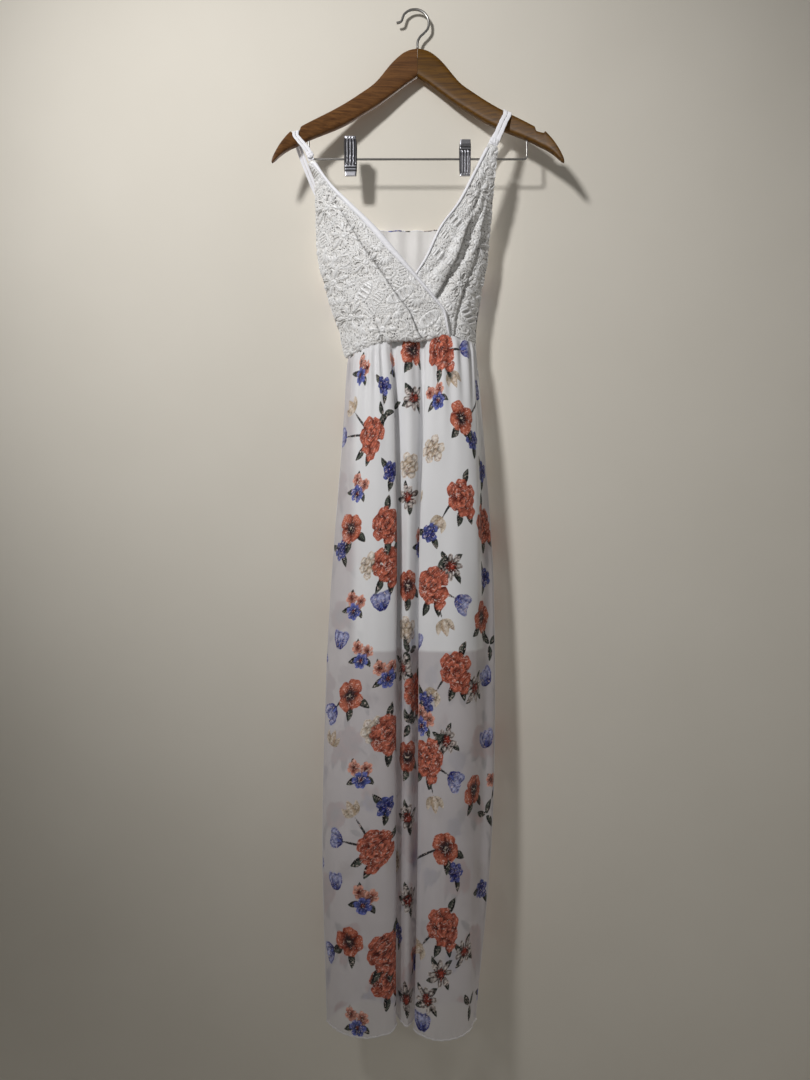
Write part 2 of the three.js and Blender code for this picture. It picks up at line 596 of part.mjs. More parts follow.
function arm(side) {
  const rings = ARM.map((row) => {
    const middle = (row.top + row.bottom) / 2;
    const tall = (row.top - row.bottom) / 2;
    const deep = row.thick / 2;
    const round = Math.min(4, tall * 0.6, deep * 0.7);
    const corners = [
      [-deep, tall - round], [-deep, round - tall], [round - deep, -tall], [deep - round, -tall],
      [deep, round - tall], [deep, tall - round], [deep - round, tall], [round - deep, tall],
    ];
    const ring = corners.map(([y, z]) =>
      new THREE.Vector3(HANGER_CENTRE_X + side * row.out, y - forward(row.out), middle + z),
    );
    return side > 0 ? ring : ring.reverse();
  });
  return loft(rings);
}

add('hanger_arm_left', arm(-1), material(COLOURS.woodDark, 0.5));
add('hanger_arm_right', arm(1), material(COLOURS.woodLight, 0.5));

// A round wire along a curve.
function wire(curve, diameter, sides, count) {
  const section = new THREE.Shape();
  section.setFromPoints(
    steps(sides - 1, 0, sides - 1).map((k) => {
      const angle = (k * 2 * Math.PI) / sides;
      return new THREE.Vector2((Math.cos(angle) * diameter) / 2, (Math.sin(angle) * diameter) / 2);
    }),
  );
  return new THREE.ExtrudeGeometry(section, { extrudePath: curve, steps: count, bevelEnabled: false });
}

// Hook: a round crown over the bearing point, an S bend to the middle of the wood, and a short open tip.
const crownAngles = steps(7, (205 * Math.PI) / 180, (-20 * Math.PI) / 180);
const crown = crownAngles.map((angle) =>
  new THREE.Vector3(
    HOOK_RADIUS * Math.cos(angle),
    0,
    HOOK_WIRE / 2 - HOOK_RADIUS + HOOK_RADIUS * Math.sin(angle),
  ),
);
const hookPath = new THREE.CatmullRomCurve3(
  [
    new THREE.Vector3(-28, 0, -19),
    ...crown.slice(1),
    new THREE.Vector3(15.5, 0, -33),
    new THREE.Vector3(7.5, 0, -41),
    new THREE.Vector3(4.2, 0, -48),
    new THREE.Vector3(HANGER_CENTRE_X, 0, ARM[0].top + 0.3),
  ],
  false,
  'centripetal',
);
add('hanger_hook', wire(hookPath, HOOK_WIRE, 10, 30), material(COLOURS.wire, 0.3, 1));

// Bar: a straight wire with both ends bent up into the arms.
function barCorners() {
  const y = -forward(BAR_OUT);
  const left = HANGER_CENTRE_X - BAR_OUT;
  const right = HANGER_CENTRE_X + BAR_OUT;
  const end = -212.5;
  const corner = (x, inward) =>
    new THREE.QuadraticBezierCurve3(
      new THREE.Vector3(x, y, BAR_Z + BAR_BEND),
      new THREE.Vector3(x, y, BAR_Z),
      new THREE.Vector3(x + inward * BAR_BEND, y, BAR_Z),
    );
  return [
    new THREE.Vector3(left, y, end),
    ...corner(left, 1).getPoints(4),
    ...corner(right, -1).getPoints(4).reverse(),
    new THREE.Vector3(right, y, end),
  ];
}

const barPoints = barCorners();
const barRings = barPoints.map((point, i) => {
  const before = barPoints[Math.max(0, i - 1)];
  const after = barPoints[Math.min(barPoints.length - 1, i + 1)];
  const tangent = after.clone().sub(before).normalize();
  const sideways = new THREE.Vector3(0, 1, 0);
  const up = new THREE.Vector3().crossVectors(tangent, sideways);
  return steps(7, 0, 7).map((k) => {
    const angle = (k * Math.PI) / 4;
    return point
      .clone()
      .addScaledVector(sideways, (Math.cos(angle) * BAR_WIRE) / 2)
      .addScaledVector(up, (Math.sin(angle) * BAR_WIRE) / 2);
  });
});
add('hanger_bar', loft(barRings), material(COLOURS.wire, 0.3, 1));

// Clips: two pressed plates that touch the bar and close at the jaws. up and down are measured from the bar.
const CLIPS = [
  { name: 'left', x: -97, width: 19, up: 31, down: 25 },
  { name: 'right', x: 75, width: 17, up: 26, down: 25 },
];
const PLATE = { thick: 1.4, open: 7 };

function clipPlate(clip, side) {
  const near = BAR_WIRE / 2 + CLIP_GAP;
  const jaw = CLIP_GAP / 2 + 0.1;
  const profile = [
    [PLATE.open, clip.up], [near, 3], [near, -3], [jaw, -clip.down + 5], [jaw, -clip.down],
    [jaw + PLATE.thick, -clip.down], [jaw + PLATE.thick + 0.6, -clip.down + 5],
    [near + PLATE.thick + 0.4, -3], [near + PLATE.thick, 3], [PLATE.open + PLATE.thick, clip.up],
  ];
  const shape = new THREE.Shape();
  shape.setFromPoints(profile.map(([out, up]) => new THREE.Vector2(side * out, up)));
  const geometry = new THREE.ExtrudeGeometry(shape, { depth: clip.width, bevelEnabled: false });
  geometry.translate(0, 0, -clip.width / 2);
  geometry.applyMatrix4(new THREE.Matrix4().set(0, 0, 1, 0, 1, 0, 0, 0, 0, 1, 0, 0, 0, 0, 0, 1));
  geometry.translate(clip.x, -forward(BAR_OUT), BAR_Z);
  return geometry;
}

const clipLook = material(COLOURS.clip, 0.3, 1);
for (const clip of CLIPS) {
  add(`clip_${clip.name}_front`, clipPlate(clip, -1), clipLook);
  add(`clip_${clip.name}_back`, clipPlate(clip, 1), clipLook);
}

export default dress;
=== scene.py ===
# %% [markdown]
# A sleeveless maxi dress hangs by its straps from a contoured wooden hanger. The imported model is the
# fixed frame. All cloth here is made again as thin, fine sheets on the same forms, and the hanger is
# modelled again with soft edges. Lengths are in millimetres until a mesh is made, so that they read
# like a pattern cutter's sizes.

# %% Frame
import math

import bpy
import numpy as np
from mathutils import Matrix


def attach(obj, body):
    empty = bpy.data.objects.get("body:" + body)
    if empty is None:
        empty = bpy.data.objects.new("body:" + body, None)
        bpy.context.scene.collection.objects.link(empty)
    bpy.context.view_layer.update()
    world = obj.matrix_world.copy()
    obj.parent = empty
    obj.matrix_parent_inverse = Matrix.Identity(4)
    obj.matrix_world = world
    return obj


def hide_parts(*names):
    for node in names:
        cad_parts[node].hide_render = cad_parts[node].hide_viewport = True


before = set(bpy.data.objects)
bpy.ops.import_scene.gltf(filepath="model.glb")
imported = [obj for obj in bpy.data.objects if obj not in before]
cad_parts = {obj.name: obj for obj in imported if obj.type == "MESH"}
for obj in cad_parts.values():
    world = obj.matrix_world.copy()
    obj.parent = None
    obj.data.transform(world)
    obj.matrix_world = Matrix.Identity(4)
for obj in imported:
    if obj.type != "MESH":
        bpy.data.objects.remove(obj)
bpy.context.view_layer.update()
bpy.ops.object.select_all(action="DESELECT")
print("solids:", sorted(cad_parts))

# %% [markdown]
# The picture was taken straight on from about 1.24 m, at the height of its own middle. A level camera
# at that place, with the focal length of a phone, gives the same view without any shift.

# %% Camera
CAMERA_PLACE = (-0.0152, -1.244, -0.8118)
FOCAL_LENGTH = 27.03
SENSOR_WIDTH = 36

bpy.ops.object.camera_add(location=CAMERA_PLACE, rotation=(math.radians(90), 0, 0))
camera = bpy.context.object
camera.name = "camera"
camera.data.lens = FOCAL_LENGTH
camera.data.sensor_width = SENSOR_WIDTH
camera.data.clip_end = 30
bpy.context.scene.camera = camera
bpy.context.scene.view_settings.view_transform = "Standard"
print("camera at", CAMERA_PLACE)

# %% [markdown]
# Every finish is a small node tree. A helper adds a node with its values and links, so that each finish
# below reads as a list of what it is made of. Cloth reads its own flat coordinates, which are the
# metres of the cloth before it was hung, so a weave runs along the threads. Wood and steel read Object
# coordinates.

# %% Material helpers
def linear(*srgb):
    values = [v / 255 for v in srgb]
    return tuple(v / 12.92 if v < 0.04045 else ((v + 0.055) / 1.055) ** 2.4 for v in values)


def darker(colour, share):
    return tuple(share * v for v in colour)


def node(tree, kind, values=None, links=None, **settings):
    made = tree.nodes.new("ShaderNode" + kind)
    for key, value in settings.items():
        setattr(made, key, value)
    for key, value in (values or {}).items():
        made.inputs[key].default_value = value
    for key, source in (links or {}).items():
        tree.links.new(source, made.inputs[key])
    return made


def surface(name, roughness, **sockets):
    material = bpy.data.materials.new(name)
    material.use_nodes = True
    tree = material.node_tree
    shader = tree.nodes["Principled BSDF"]
    shader.inputs["Roughness"].default_value = roughness
    for key, value in sockets.items():
        shader.inputs[key.replace("_", " ")].default_value = value
    return material, tree, shader


def feed(tree, socket, value):
    """A socket takes a link from another one, a colour or a number."""
    if isinstance(value, bpy.types.NodeSocket):
        tree.links.new(value, socket)
    elif isinstance(value, tuple):
        socket.default_value = (*value[:3], 1)
    else:
        socket.default_value = value


def blend_colour(tree, share, first, second, mode="MIX"):
    made = node(tree, "Mix", data_type="RGBA", blend_type=mode)
    for key, value in ((0, share), (6, first), (7, second)):
        feed(tree, made.inputs[key], value)
    return made.outputs[2]


def maths(tree, operation, *values):
    made = node(tree, "Math", operation=operation)
    for key, value in enumerate(values):
        feed(tree, made.inputs[key], value)
    return made.outputs[0]


def span(tree, value, low, high, to_low=0.0, to_high=1.0):
    made = node(tree, "MapRange", {1: low, 2: high, 3: to_low, 4: to_high}, {0: value})
    return made.outputs[0]


def noise(tree, vector, scale, detail, distortion=0.0):
    values = {"Scale": scale, "Detail": detail, "Distortion": distortion}
    return node(tree, "TexNoise", values, {"Vector": vector}).outputs["Fac"]


def field(tree, name, output="Fac"):
    return node(tree, "Attribute", attribute_name=name).outputs[output]


def flat_place(tree):
    return node(tree, "UVMap", uv_map="flat").outputs["UV"]


def object_place(tree):
    return node(tree, "TexCoord").outputs["Object"]


def paint(tree, shader, colour):
    tree.links.new(colour, shader.inputs["Base Color"])


def press(tree, shader, height, strength, depth):
    """Relief too fine for the mesh is left to the shading."""
    bump = node(tree, "Bump", {"Strength": strength, "Distance": depth}, {"Height": height})
    tree.links.new(bump.outputs["Normal"], shader.inputs["Normal"])


def weave(tree, shader, pitch, strength, depth):
    """Two crossed sets of fine ridges on the flat coordinates stand for warp and weft."""
    flat = flat_place(tree)
    sets = []
    for threads in ("X", "Y"):
        wave = node(tree, "TexWave", {"Scale": 0.314 / pitch}, {"Vector": flat}, bands_direction=threads)
        sets.append(wave.outputs["Fac"])
    press(tree, shader, maths(tree, "MAXIMUM", *sets), strength, depth)
    return flat


print("helpers ready")

# %% [markdown]
# A soft spot lamp hangs to the upper left in front and is aimed at the bodice, so its light fades down
# the skirt and to the right, as in the picture. A weak large lamp and a dim world fill the shadows.
#
# A plain pale backdrop stands close behind the cloth and leans with it, because a sheer cloth looks as
# dark as what is behind it. It is drawn only on its front side, so that the dress can also be looked at
# from the back, and a lamp behind it lights that side.

# %% Studio
BACKDROP_LEAN = math.atan(0.055)


def aimed_lamp(kind, name, place, target, power, colour):
    bpy.ops.object.light_add(type=kind, location=place)
    light = bpy.context.object
    light.name = name
    light.data.energy = power
    light.data.color = colour
    x, y, z = [t - p for t, p in zip(target, place)]
    light.rotation_euler = (math.atan2(math.hypot(x, y), -z), 0, math.atan2(-x, y))
    return light


key = aimed_lamp("SPOT", "key", place=(-0.78, -1.38, 0.34), target=(-0.1, 0, -0.36), power=90,
                 colour=(1, 0.992, 0.988))
key.data.spot_size = math.radians(66)
key.data.spot_blend = 1
key.data.shadow_soft_size = 0.11
fill = aimed_lamp("AREA", "fill", place=(0.9, -1.6, -0.6), target=(0, 0, -0.8), power=1.6,
                  colour=(1, 0.97, 0.93))
fill.data.size = 1.4
rear = aimed_lamp("AREA", "rear", place=(0.7, 1.7, 0.1), target=(0, 0, -0.75), power=22,
                  colour=(1, 0.98, 0.95))
rear.data.size = 0.8

world = bpy.data.worlds.new("room")
bpy.context.scene.world = world
world.use_nodes = True
sky = world.node_tree
dim = sky.nodes["Background"]
dim.inputs["Color"].default_value = (0.13, 0.127, 0.122, 1)
direction = node(sky, "TexCoord").outputs["Generated"]
slope = node(sky, "VectorMath", {1: (-0.5, 0, 0.75)}, {0: direction}, operation="DOT_PRODUCT")
share = span(sky, slope.outputs["Value"], -0.62, 0.62)
wash_colour = blend_colour(sky, share, (0.3, 0.28, 0.25), (0.72, 0.69, 0.63))
wash = node(sky, "Background", links={"Color": wash_colour})
seen = node(sky, "LightPath").outputs["Is Camera Ray"]
choice = node(sky, "MixShader", links={0: seen, 1: dim.outputs[0], 2: wash.outputs[0]})
sky.links.new(choice.outputs[0], sky.nodes["World Output"].inputs["Surface"])

bpy.ops.mesh.primitive_plane_add(size=3, location=(0, -0.6, -2.3))
floor = bpy.context.object
floor.name = "floor"
upright = (math.radians(90) + BACKDROP_LEAN, 0, 0)
bpy.ops.mesh.primitive_plane_add(size=8, location=(0, 0.01, 0), rotation=upright)
backdrop = bpy.context.object
backdrop.name = "backdrop"
backdrop.visible_shadow = False

# %% [markdown]
# The curves that the cloth hangs in are worked out with arrays. A fold line has a place at five levels,
# and a smooth curve through the fold lines makes the outline of the skirt at any height.

# %% Curve helpers
def smooth(low, high, x):
    t = np.clip((x - low) / (high - low), 0, 1)
    return t * t * (3 - 2 * t)


def bell(x, width):
    return np.exp(-((x / width) ** 2))


def mix(a, b, t):
    return a + (b - a) * t


def jitter(a, b, c=0.0):
    """A repeatable uneven number from -1 to 1."""
    return np.modf(np.sin(a * 127.1 + b * 311.7 + c * 74.7) * 43758.5453)[0]


def spline(points, at, closed=False):
    """A centripetal curve through points, read at the positions at, counted in points."""
    p = np.asarray(points, float)
    at = np.asarray(at, float)
    count = p.shape[-2]
    if closed:
        k = np.floor(at).astype(int)
        q = [np.take(p, (k + d) % count, axis=-2) for d in (-1, 0, 1, 2)]
    else:
        k = np.clip(np.floor(at).astype(int), 0, count - 2)
        first = 2 * p[..., :1, :] - p[..., 1:2, :]
        last = 2 * p[..., -1:, :] - p[..., -2:-1, :]
        longer = np.concatenate([first, p, last], axis=-2)
        q = [np.take(longer, k + d + 1, axis=-2) for d in (-1, 0, 1, 2)]
    w = (at - k)[..., None]
    d = [np.maximum(((q[i + 1] - q[i]) ** 2).sum(-1, keepdims=True) ** 0.25, 1e-4) for i in range(3)]
    t1 = ((q[1] - q[0]) / d[0] - (q[2] - q[0]) / (d[0] + d[1]) + (q[2] - q[1]) / d[1]) * d[1]
    t2 = ((q[2] - q[1]) / d[1] - (q[3] - q[1]) / (d[1] + d[2]) + (q[3] - q[2]) / d[2]) * d[1]
    square = (-3 * q[1] + 3 * q[2] - 2 * t1 - t2) * w**2
    return q[1] + t1 * w + square + (2 * q[1] - 2 * q[2] + t1 + t2) * w**3


def unit(vectors):
    return vectors / np.linalg.norm(vectors, axis=-1, keepdims=True)


def run_along(path):
    """Distance from the first point to each point of a path."""
    return np.concatenate([[0], np.cumsum(np.linalg.norm(np.diff(path, axis=0), axis=1))])


def outward(points, turn):
    """Unit normals of a grid of points, from its rows and columns."""
    return unit(np.cross(np.gradient(points, axis=1), np.gradient(points, axis=0)) * turn)


def pairs(across, down):
    """Flat coordinates of a grid, from a row and a column or from two grids."""
    return np.stack(np.broadcast_arrays(across, down), -1)


# %% [markdown]
# A sheet of cloth becomes one mesh with a quad for each cell of its grid. It carries its flat
# coordinates as a UV map, and what is printed or stitched on it as named attributes.

# %% Sheet maker
def grid_faces(rows, columns, turn):
    index = np.arange(rows * columns).reshape(rows, columns)
    corners = [index[:-1, :-1], index[:-1, 1:], index[1:, 1:], index[1:, :-1]]
    if turn < 0:
        corners = corners[::-1]
    return np.stack(corners, -1).reshape(-1, 4)


def tube_faces(rings, sides):
    ring = np.arange(sides)
    after = (ring + 1) % sides
    start = np.arange(rings - 1)[:, None] * sides
    corners = [start + sides + ring, start + sides + after, start + after, start + ring]
    return np.stack(corners, -1).reshape(-1, 4)


def write_field(mesh, name, values):
    """A named attribute: a colour for each point if the values come in threes, or else a number."""
    kind, member = "FLOAT", "value"
    if values.shape[-1] == 3:
        values = np.concatenate([values, np.ones_like(values[..., :1])], -1)
        kind, member = "FLOAT_COLOR", "color"
    made = mesh.attributes.new(name, kind, "POINT")
    made.data.foreach_set(member, values.astype(np.float32).ravel())


def places_of(mesh):
    co = np.zeros(len(mesh.vertices) * 3)
    mesh.vertices.foreach_get("co", co)
    return co.reshape(-1, 3)


def enter(piece, material, node_name=None):
    """The piece takes its finish, its slot and, if one is named, the place of a solid."""
    piece.data.materials.append(material)
    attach(piece, "root")
    if node_name:
        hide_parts(node_name)
    print(piece.name, len(piece.data.polygons), "faces")


def make_piece(name, points, faces, material, flat, fields=None):
    """points and flat are in millimetres; fields are named values for each point."""
    mesh = bpy.data.meshes.new(name)
    mesh.from_pydata(np.asarray(points, float).reshape(-1, 3) * 0.001, [], np.asarray(faces))
    mesh.polygons.foreach_set("use_smooth", np.ones(len(mesh.polygons), bool))
    corner = np.zeros(len(mesh.loops), np.int32)
    mesh.loops.foreach_get("vertex_index", corner)
    spread = np.asarray(flat, float).reshape(-1, 2)[corner] * 0.001
    mesh.uv_layers.new(name="flat").data.foreach_set("uv", spread.ravel())
    for key, values in (fields or {}).items():
        write_field(mesh, key, values)
    piece = bpy.data.objects.new(name, mesh)
    bpy.context.scene.collection.objects.link(piece)
    enter(piece, material)
    return piece


def rolled_edge(name, path, radius, material, sides=8, fields=None):
    """A rolled hem is a tube whose thickness swells and shrinks a little along its path."""
    tangent = unit(np.gradient(path, axis=0))
    side = np.cross(tangent, [0, 0, 1.0])
    side /= np.maximum(np.linalg.norm(side, axis=1, keepdims=True), 1e-6)
    up = np.cross(side, tangent)
    along = run_along(path)
    swell = radius * (1 + 0.16 * np.sin(along * 0.9) + 0.1 * np.sin(along * 2.3 + 1))
    angles = np.arange(sides) * 2 * math.pi / sides
    ring = side[:, None] * np.cos(angles)[None, :, None] + up[:, None] * np.sin(angles)[None, :, None]
    points = path[:, None] + ring * swell[:, None, None]
    flat = pairs(angles[None] * radius, along[:, None])
    fields = {key: values.repeat(sides, axis=0) for key, values in (fields or {}).items()}
    return make_piece(name, points, tube_faces(len(path), sides), material, flat, fields)


# %% [markdown]
# The skirt is one tube of chiffon in two panels, gathered to the waist. Its main folds are the same
# table of fold lines that the solids use. Two deep creases part the front into a left lobe, a narrow
# rib and a right lobe, and the right side turns back. Fold lines are listed from the left edge round
# the front to the right edge and home along the back.

# %% Skirt folds
LEVELS = np.array([-520, -645, -900, -1250, -1545.0])
FOLD_X = np.array([
    [-101, -110, -129, -141, -134], [-89, -98, -113, -123, -117], [-64, -66, -72, -78, -76],
    [-48, -42, -40, -40, -39], [-39, -31, -29, -28, -28], [-34, -34, -35, -35, -33],
    [-29, -28, -28, -28, -27], [-23, -20, -20, -20, -20], [-11, -8, -11, -12, -13],
    [2, 4, -3, -4, -6], [8, 10, 4, 3, 0], [13, 16, 10, 9, 6], [18, 13, 5, 4, 0],
    [44, 46, 42, 40, 36], [70, 73, 72, 67, 63], [83, 89, 91, 85, 81], [89, 96, 104, 99, 86],
    [92, 103, 120, 118, 92], [82, 92, 105, 104, 84], [57, 60, 64, 62, 54], [33, 32, 33, 32, 30],
    [4, 4, 3, 0, -1], [-27, -30, -34, -36, -34], [-60, -66, -76, -82, -78], [-86, -95, -112, -120, -114],
], float)
FOLD_Y = np.array([
    [0, 0, 2, 3, 0], [-23, -27, -30, -32, -28], [-36, -44, -49, -53, -50], [-38, -46, -51, -53, -50],
    [-36, -40, -43, -44, -43], [-31, -22, -17, -15, -18], [-31, -20, -14, -12, -15],
    [-36, -32, -28, -26, -28], [-39, -40, -38, -37, -38], [-36, -33, -29, -28, -29],
    [-31, -20, -14, -12, -15], [-31, -22, -17, -15, -18], [-37, -42, -44, -46, -45],
    [-41, -50, -56, -59, -56], [-32, -46, -53, -55, -50], [-20, -35, -42, -42, -36],
    [-10, -18, -19, -18, -17], [0, -2, 0, 2, 0], [19, 26, 34, 36, 27], [28, 38, 47, 50, 43],
    [26, 22, 18, 16, 20], [30, 39, 46, 50, 46], [26, 23, 20, 19, 22], [28, 38, 47, 51, 46],
    [19, 25, 31, 33, 28],
], float)
HEM_RISE = np.array([
    -4, -2, 0, 5, 13, 16, 15, 13, 10, 9, 10, 10, 7, 0, -1, 2, 3, 0, 0, 0, 8, 0, 8, 0, -2,
], float)
RIGHT_EDGE = 17
LEFT_EDGE = 25
SKIRT_TALL = 1030.0
HIPS = -900.0
CLOTH_STEP = 2.07
WAIST_SEAM = -532


def at_levels(table, z):
    """Each row of the table is read at the heights z through a smooth curve."""
    low = np.clip(np.searchsorted(-LEVELS, -z, side="right") - 1, 0, 3)
    gap = LEVELS[low + 1] - LEVELS[low]
    t = np.clip((z - LEVELS[low]) / gap, 0, 1)[:, None]

    def slope(i):
        a, b = np.maximum(i - 1, 0), np.minimum(i + 1, 4)
        return ((table[:, b] - table[:, a]) / (LEVELS[b] - LEVELS[a]) * gap).T

    first, second = table[:, low].T, table[:, low + 1].T
    bend = t * (1 - t) * ((1 - t) * slope(low) - t * slope(low + 1))
    return first + (second - first) * t * t * (3 - 2 * t) + bend


def skirt_ring(z, folds):
    return spline(np.stack([at_levels(FOLD_X, z), at_levels(FOLD_Y, z)], -1), folds, closed=True)


def front_seam(x):
    return WAIST_SEAM + 16 * smooth(-101, -40, x) + 3 * smooth(60, 92, x) + 9 * bell(x - 46, 22)


def back_seam(x):
    return WAIST_SEAM + 19 * smooth(-101, 92, x)


def on_skirt(folds, drops):
    """Points of the smooth skirt: folds counts fold lines round it, drops runs from waist seam to hem."""
    waist = skirt_ring(LEVELS[:1], folds)[0]
    seam = np.where(folds <= RIGHT_EDGE, front_seam(waist[:, 0]), back_seam(waist[:, 0]))
    k = np.floor(folds).astype(int) % LEFT_EDGE
    rise = mix(HEM_RISE[k], HEM_RISE[(k + 1) % LEFT_EDGE], smooth(0, 1, folds - np.floor(folds)))
    level = skirt_ring(mix(LEVELS[0], LEVELS[-1], drops), folds)
    z = seam * (1 - drops[:, None]) + (rise + LEVELS[-1]) * drops[:, None]
    return np.concatenate([level, z[..., None]], -1)


def even_folds(first, last):
    """Fold positions at even steps of cloth, measured round the hips, and those lengths."""
    fine = np.linspace(0, LEFT_EDGE, LEFT_EDGE * 60 + 1)
    length = run_along(skirt_ring(np.array([HIPS]), fine)[0])
    start, end = np.interp([first, last], fine, length)
    lengths = np.linspace(start, end, int((end - start) / CLOTH_STEP) + 1)
    return np.interp(lengths, length, fine), lengths - start


front_folds, front_s = even_folds(0, RIGHT_EDGE)
back_folds, back_s = even_folds(RIGHT_EDGE, LEFT_EDGE)
drops = np.linspace(0, 1, 500)
cloth_t = drops * SKIRT_TALL
print("front cloth", round(front_s[-1]), "mm, back cloth", round(back_s[-1]), "mm across")

# %% [markdown]
# Elastic puckers the waist into many short gathers of uneven depth, and each fades down the skirt at
# its own length. Lower down the chiffon only drifts in slow waves, and its hem puckers a little at the
# stitching. These are pushed out or in along the cloth's own normal, so they stay soft.

# %% Gathers
FRONT_GATHERS = [  # place across the cloth, width, depth, length down the skirt
    (12, 5, 2.4, 90), (24, 4, 2.0, 60), (35, 5, 2.6, 150), (47, 4, -2.2, 110), (58, 5, 2.2, 80),
    (70, 4, -2.4, 200), (80, 4, 2.4, 100), (91, 5, -2.8, 150), (101, 4, 2.4, 120), (110, 4, -2.6, 240),
    (119, 4, 2.0, 70), (172, 4, 1.8, 90), (183, 4, -2.0, 130), (193, 5, 2.2, 100), (203, 4, -1.8, 160),
    (262, 5, -2.0, 210), (272, 4, 2.2, 120), (283, 5, -2.6, 90), (294, 4, 2.4, 160), (305, 5, -3.0, 230),
    (316, 4, 2.4, 80), (326, 4, -2.2, 130), (337, 5, 2.6, 110), (348, 4, -2.6, 190), (358, 4, 2.0, 70),
    (370, 5, -2.0, 120), (383, 5, 2.0, 90),
]
BACK_GATHERS = [
    (11, 5, 2.2, 90), (24, 4, -2.2, 140), (37, 5, 2.4, 110), (50, 5, -2.6, 200), (63, 4, 2.2, 80),
    (75, 5, -2.4, 150), (88, 4, 2.4, 120), (101, 5, -2.0, 90), (115, 5, 2.6, 170), (129, 4, -2.6, 220),
    (141, 4, 2.2, 100), (155, 5, 2.4, 130), (169, 5, -2.8, 180), (183, 4, 2.2, 90), (197, 5, -2.4, 140),
    (211, 4, 2.4, 110), (224, 5, -2.2, 200), (238, 5, 2.6, 120), (252, 4, -2.6, 160), (266, 5, 2.2, 90),
    (280, 5, -2.2, 130), (294, 4, 2.4, 100), (308, 5, -2.6, 170), (322, 4, 2.2, 110), (333, 4, -1.8, 80),
]
CHIFFON_OUT = 0.6


def chiffon_panel(folds, s, gathers):
    base = on_skirt(folds, drops)
    push = np.full(base.shape[:2], CHIFFON_OUT)
    t = cloth_t[:, None]
    for place, width, depth, length in gathers:
        lean = 6 * jitter(place, depth)
        away = s[None] - place - lean * smooth(0, length, t)
        push += depth * bell(away, width + t * 0.035) * bell(t, length)
    push += 1.5 * np.sin(s[None] / 17 + t / 260) * smooth(120, 420, t)
    push += 0.9 * np.sin(s[None] / 7.3 - t / 90) * bell(t - 420 - 130 * np.sin(s[None] / 31), 130)
    push += 0.5 * np.sin(s[None] / 1.9) * smooth(SKIRT_TALL - 18, SKIRT_TALL, t)
    ease = smooth(0, 14, t)
    ends = smooth(0, 9, s)[None] * smooth(0, 9, s[-1] - s)[None]
    push = CHIFFON_OUT + (push - CHIFFON_OUT) * ends * mix(0.35, 1, ease)
    return base + outward(base, -1) * push[..., None]


front_points = chiffon_panel(front_folds, front_s, FRONT_GATHERS)
back_points = chiffon_panel(back_folds, back_s, BACK_GATHERS)
print("front spans", front_points.min((0, 1)).round(), front_points.max((0, 1)).round())

# %% [markdown]
# The print is ordinary flowers scattered with space between them. It could be an image, but here every
# flower is drawn from patches: a petal is an egg shape and a leaf a pointed one, each with a distance
# to its own edge and a tone from base to tip. Each patch is laid on the flat cloth in turn and shades
# what it covers. The mesh keeps the ink colour and the distance to the nearest outline, and the finish
# cuts the ink off where that distance passes zero, so outlines stay crisp between the points.

# %% Printing table
INKS = {  # dark and light end of each ink
    "coral": (linear(112, 32, 24), linear(240, 136, 106)),
    "salmon": (linear(134, 46, 30), linear(240, 146, 114)),
    "pink": (linear(150, 58, 44), linear(255, 190, 168)),
    "leaf": (linear(14, 18, 18), linear(104, 112, 100)),
    "blue": (linear(14, 16, 70), linear(112, 126, 210)),
    "sky": (linear(34, 40, 128), linear(206, 212, 248)),
    "beige": (linear(168, 150, 126), linear(236, 224, 208)),
    "pale": (linear(190, 168, 142), linear(246, 240, 232)),
    "cream": (linear(72, 56, 52), linear(250, 242, 236)),
    "seed": (linear(54, 14, 14), linear(180, 66, 46)),
    "night": (linear(18, 12, 22), linear(92, 58, 60)),
    "stem": (linear(24, 26, 32), linear(50, 50, 52)),
}
MOTIF_WIDTH, MOTIF_HEIGHT = 0.95, 1.1
FAR = 40.0  # the distance to an outline before anything is printed


def new_canvas(s, t):
    ink = np.tile(np.array(INKS["cream"][1]), (len(t), len(s), 1))
    speck = np.random.default_rng(5).normal(0, 1, (len(t), len(s)))
    speck = (speck + np.roll(speck, 1, 0) + np.roll(speck, 1, 1)) / 3
    return {"s": s, "t": t, "ink": ink, "edge": np.full((len(t), len(s)), FAR), "speck": speck}


